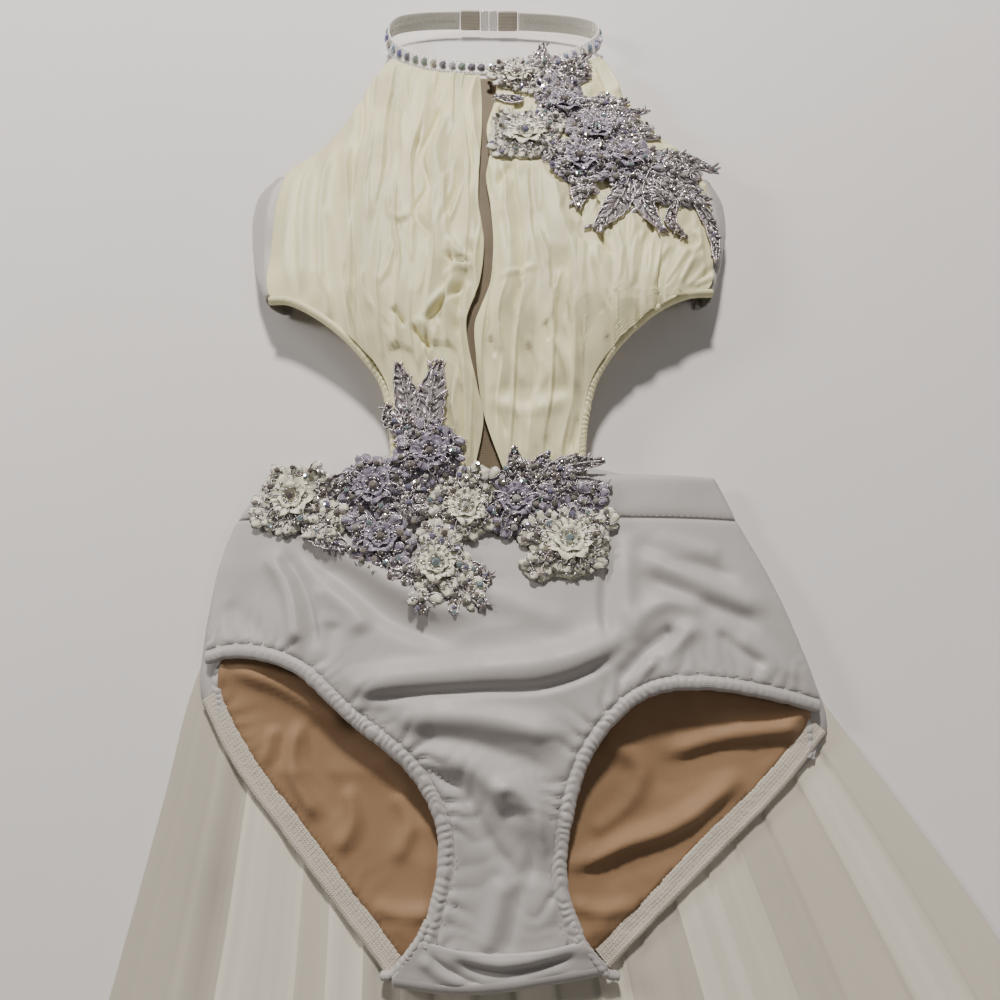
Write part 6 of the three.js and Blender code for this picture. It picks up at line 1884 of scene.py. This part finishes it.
def make_stitches(sizes, colours):
    """Stitching that shows: round both front leg casings, along the waistband's seam and along
    the gusset's."""
    rows = []
    for side in (0, 1):
        line = leg_line(LEG_EDGES, side, CASING_WIDTH + 0.9, 300)
        rows.append(stitch_row(place(line[:, 0], line[:, 1], brief_height(line[:, 0], line[:, 1]) + 1.75),
                               3.0, 1.9, 0.35))
    x = np.linspace(-124, 112, 160)
    y = np.full_like(x, WAISTBAND_SEAM + 0.9)
    rows.append(stitch_row(place(x, y, brief_height(x, y) + 1.75), 3.0, 1.9, 0.3))
    u = np.linspace(0.02, 0.98, 60)
    x, y = column(GUSSET_SEAM, "u", "x")(u), column(GUSSET_SEAM, "u", "y")(u) - 1.4
    rows.append(stitch_row(place(x, y, brief_height(x, y) + 2.0), 2.6, 1.7, 0.3))
    put("seam_stitches", merge(rows), thread_look(colours))


# ------------------------------------------------------------------ stage
CAMERA_HEIGHT = 340
CAMERA_BACK = 142.8
CAMERA_PITCH = 69.6
LENS = 26.17
FLOOR_REACH = 4000


# Lamps: name, place in metres, disk size in metres, watts.
LAMPS = (("soft_box", (-0.10, 1.38, 1.18), 0.22, 41.0), ("low_side", (-1.3, 0.42, 0.60), 0.30, 10.5),
         ("fill_right", (1.1, -0.4, 1.3), 0.6, 4.0))


def make_stage():
    """A plain pale floor, a soft light above the neck end, two weak ones from the left and from
    below, and a weak even sky."""
    half = FLOOR_REACH / 2
    corners = np.array([[-half, -half, -0.4], [half, -half, -0.4], [half, half, -0.4], [-half, half, -0.4]])
    mesh = bpy.data.meshes.new("floor")
    mesh.from_pydata((corners * MM).tolist(), [], [[0, 1, 2, 3]])
    mesh.materials.append(painted_board("painted_board"))
    floor = bpy.data.objects.new("floor", mesh)
    bpy.context.scene.collection.objects.link(floor)

    for name, location, size, watts in LAMPS:
        lamp = bpy.data.lights.new(name, "AREA")
        lamp.shape = "DISK"
        lamp.size = size
        lamp.energy = watts
        lamp.color = linear("fffaf4")
        light = bpy.data.objects.new(name, lamp)
        light.location = location
        aim = np.array([0.0, 0.05, 0.0]) - np.array(location)
        light.rotation_euler = (math.atan2(math.hypot(aim[0], aim[1]), -aim[2]), 0,
                                math.atan2(aim[1], aim[0]) - math.pi / 2)
        bpy.context.scene.collection.objects.link(light)

    world = bpy.data.worlds.new("pale_room")
    world.use_nodes = True
    world.node_tree.nodes["Background"].inputs["Color"].default_value = opaque("eeeeee")
    world.node_tree.nodes["Background"].inputs["Strength"].default_value = 0.10
    bpy.context.scene.world = world

    lens = bpy.data.cameras.new("camera")
    lens.sensor_width = 36
    lens.lens = LENS
    lens.clip_start = 0.01
    camera = bpy.data.objects.new("camera", lens)
    camera.location = (0, -CAMERA_BACK * MM, CAMERA_HEIGHT * MM)
    camera.rotation_euler = (math.radians(90 - CAMERA_PITCH), 0, 0)
    bpy.context.scene.collection.objects.link(camera)
    bpy.context.scene.camera = camera


# ------------------------------------------------------------------ operators
class CostumeStage(bpy.types.Operator):
    """Make the floor, the lights and the camera"""
    bl_idname = "costume.stage"
    bl_label = "Stage"

    def execute(self, context):
        make_stage()
        return {"FINISHED"}


class CostumeSkirt(bpy.types.Operator):
    """Make the fanned chiffon skirt"""
    bl_idname = "costume.skirt"
    bl_label = "Skirt"

    def execute(self, context):
        make_skirt(context.scene.costume_sizes, context.scene.costume_colours)
        return {"FINISHED"}


class CostumeBriefs(bpy.types.Operator):
    """Make the back, lining and front of the briefs, with the waistband and gusset"""
    bl_idname = "costume.briefs"
    bl_label = "Briefs"

    def execute(self, context):
        for make in (make_brief_back, make_lining, make_brief_front, make_waistband, make_gusset):
            make(context.scene.costume_sizes, context.scene.costume_colours)
        return {"FINISHED"}


class CostumeLegEdges(bpy.types.Operator):
    """Make the gathered casings and the elastic of the leg openings"""
    bl_idname = "costume.leg_edges"
    bl_label = "Leg edges"

    def execute(self, context):
        for make in (make_leg_casings, make_leg_tapes):
            make(context.scene.costume_sizes, context.scene.costume_colours)
        return {"FINISHED"}


class CostumeBodice(bpy.types.Operator):
    """Make the gathered bodice panels and the nude insert"""
    bl_idname = "costume.bodice"
    bl_label = "Bodice"

    def execute(self, context):
        for make in (make_bodice, make_insert):
            make(context.scene.costume_sizes, context.scene.costume_colours)
        return {"FINISHED"}


class CostumeSides(bpy.types.Operator):
    """Make the underarm pipings, the sides and the back band"""
    bl_idname = "costume.sides"
    bl_label = "Sides and pipings"

    def execute(self, context):
        for make in (make_pipings, make_sides, make_back_band):
            make(context.scene.costume_sizes, context.scene.costume_colours)
        return {"FINISHED"}


class CostumeNeckband(bpy.types.Operator):
    """Make the neckband with its stitching and crystals, and its clasp"""
    bl_idname = "costume.neckband"
    bl_label = "Neckband and clasp"

    def execute(self, context):
        for make in (make_neckband, make_band_stitching, make_clasp, make_neck_crystals):
            make(context.scene.costume_sizes, context.scene.costume_colours)
        return {"FINISHED"}


class CostumeApplique(bpy.types.Operator):
    """Make the lace, flowers, crystals and beads"""
    bl_idname = "costume.applique"
    bl_label = "Applique"

    def execute(self, context):
        for make in (make_lace, make_flowers, make_crystals_and_beads):
            make(context.scene.costume_sizes, context.scene.costume_colours)
        return {"FINISHED"}


class CostumeSeams(bpy.types.Operator):
    """Make the stitching that shows along the seams"""
    bl_idname = "costume.seams"
    bl_label = "Seam stitches"

    def execute(self, context):
        make_stitches(context.scene.costume_sizes, context.scene.costume_colours)
        return {"FINISHED"}


OPERATORS = (CostumeStage, CostumeSkirt, CostumeBriefs, CostumeLegEdges, CostumeBodice, CostumeSides,
             CostumeNeckband, CostumeApplique, CostumeSeams)


class CostumePanel(bpy.types.Panel):
    """Sizes, colours and pieces of the costume"""
    bl_idname = "VIEW3D_PT_costume"
    bl_label = "Lyrical costume"
    bl_space_type = "VIEW_3D"
    bl_region_type = "UI"
    bl_category = "Costume"

    def draw(self, context):
        for group in (context.scene.costume_sizes, context.scene.costume_colours):
            box = self.layout.box()
            for name in type(group).__annotations__:
                box.prop(group, name)
        for operator in OPERATORS:
            self.layout.operator(operator.bl_idname)


CLASSES = (CostumeSizes, CostumeColours) + OPERATORS + (CostumePanel,)


def register():
    for cls in CLASSES:
        bpy.utils.register_class(cls)
    bpy.types.Scene.costume_sizes = PointerProperty(type=CostumeSizes)
    bpy.types.Scene.costume_colours = PointerProperty(type=CostumeColours)


def unregister():
    del bpy.types.Scene.costume_colours
    del bpy.types.Scene.costume_sizes
    for cls in reversed(CLASSES):
        bpy.utils.unregister_class(cls)


def main():
    register()
    for operator in OPERATORS:
        group, name = operator.bl_idname.split(".")
        getattr(getattr(bpy.ops, group), name)()


if __name__ == "__main__":
    main()
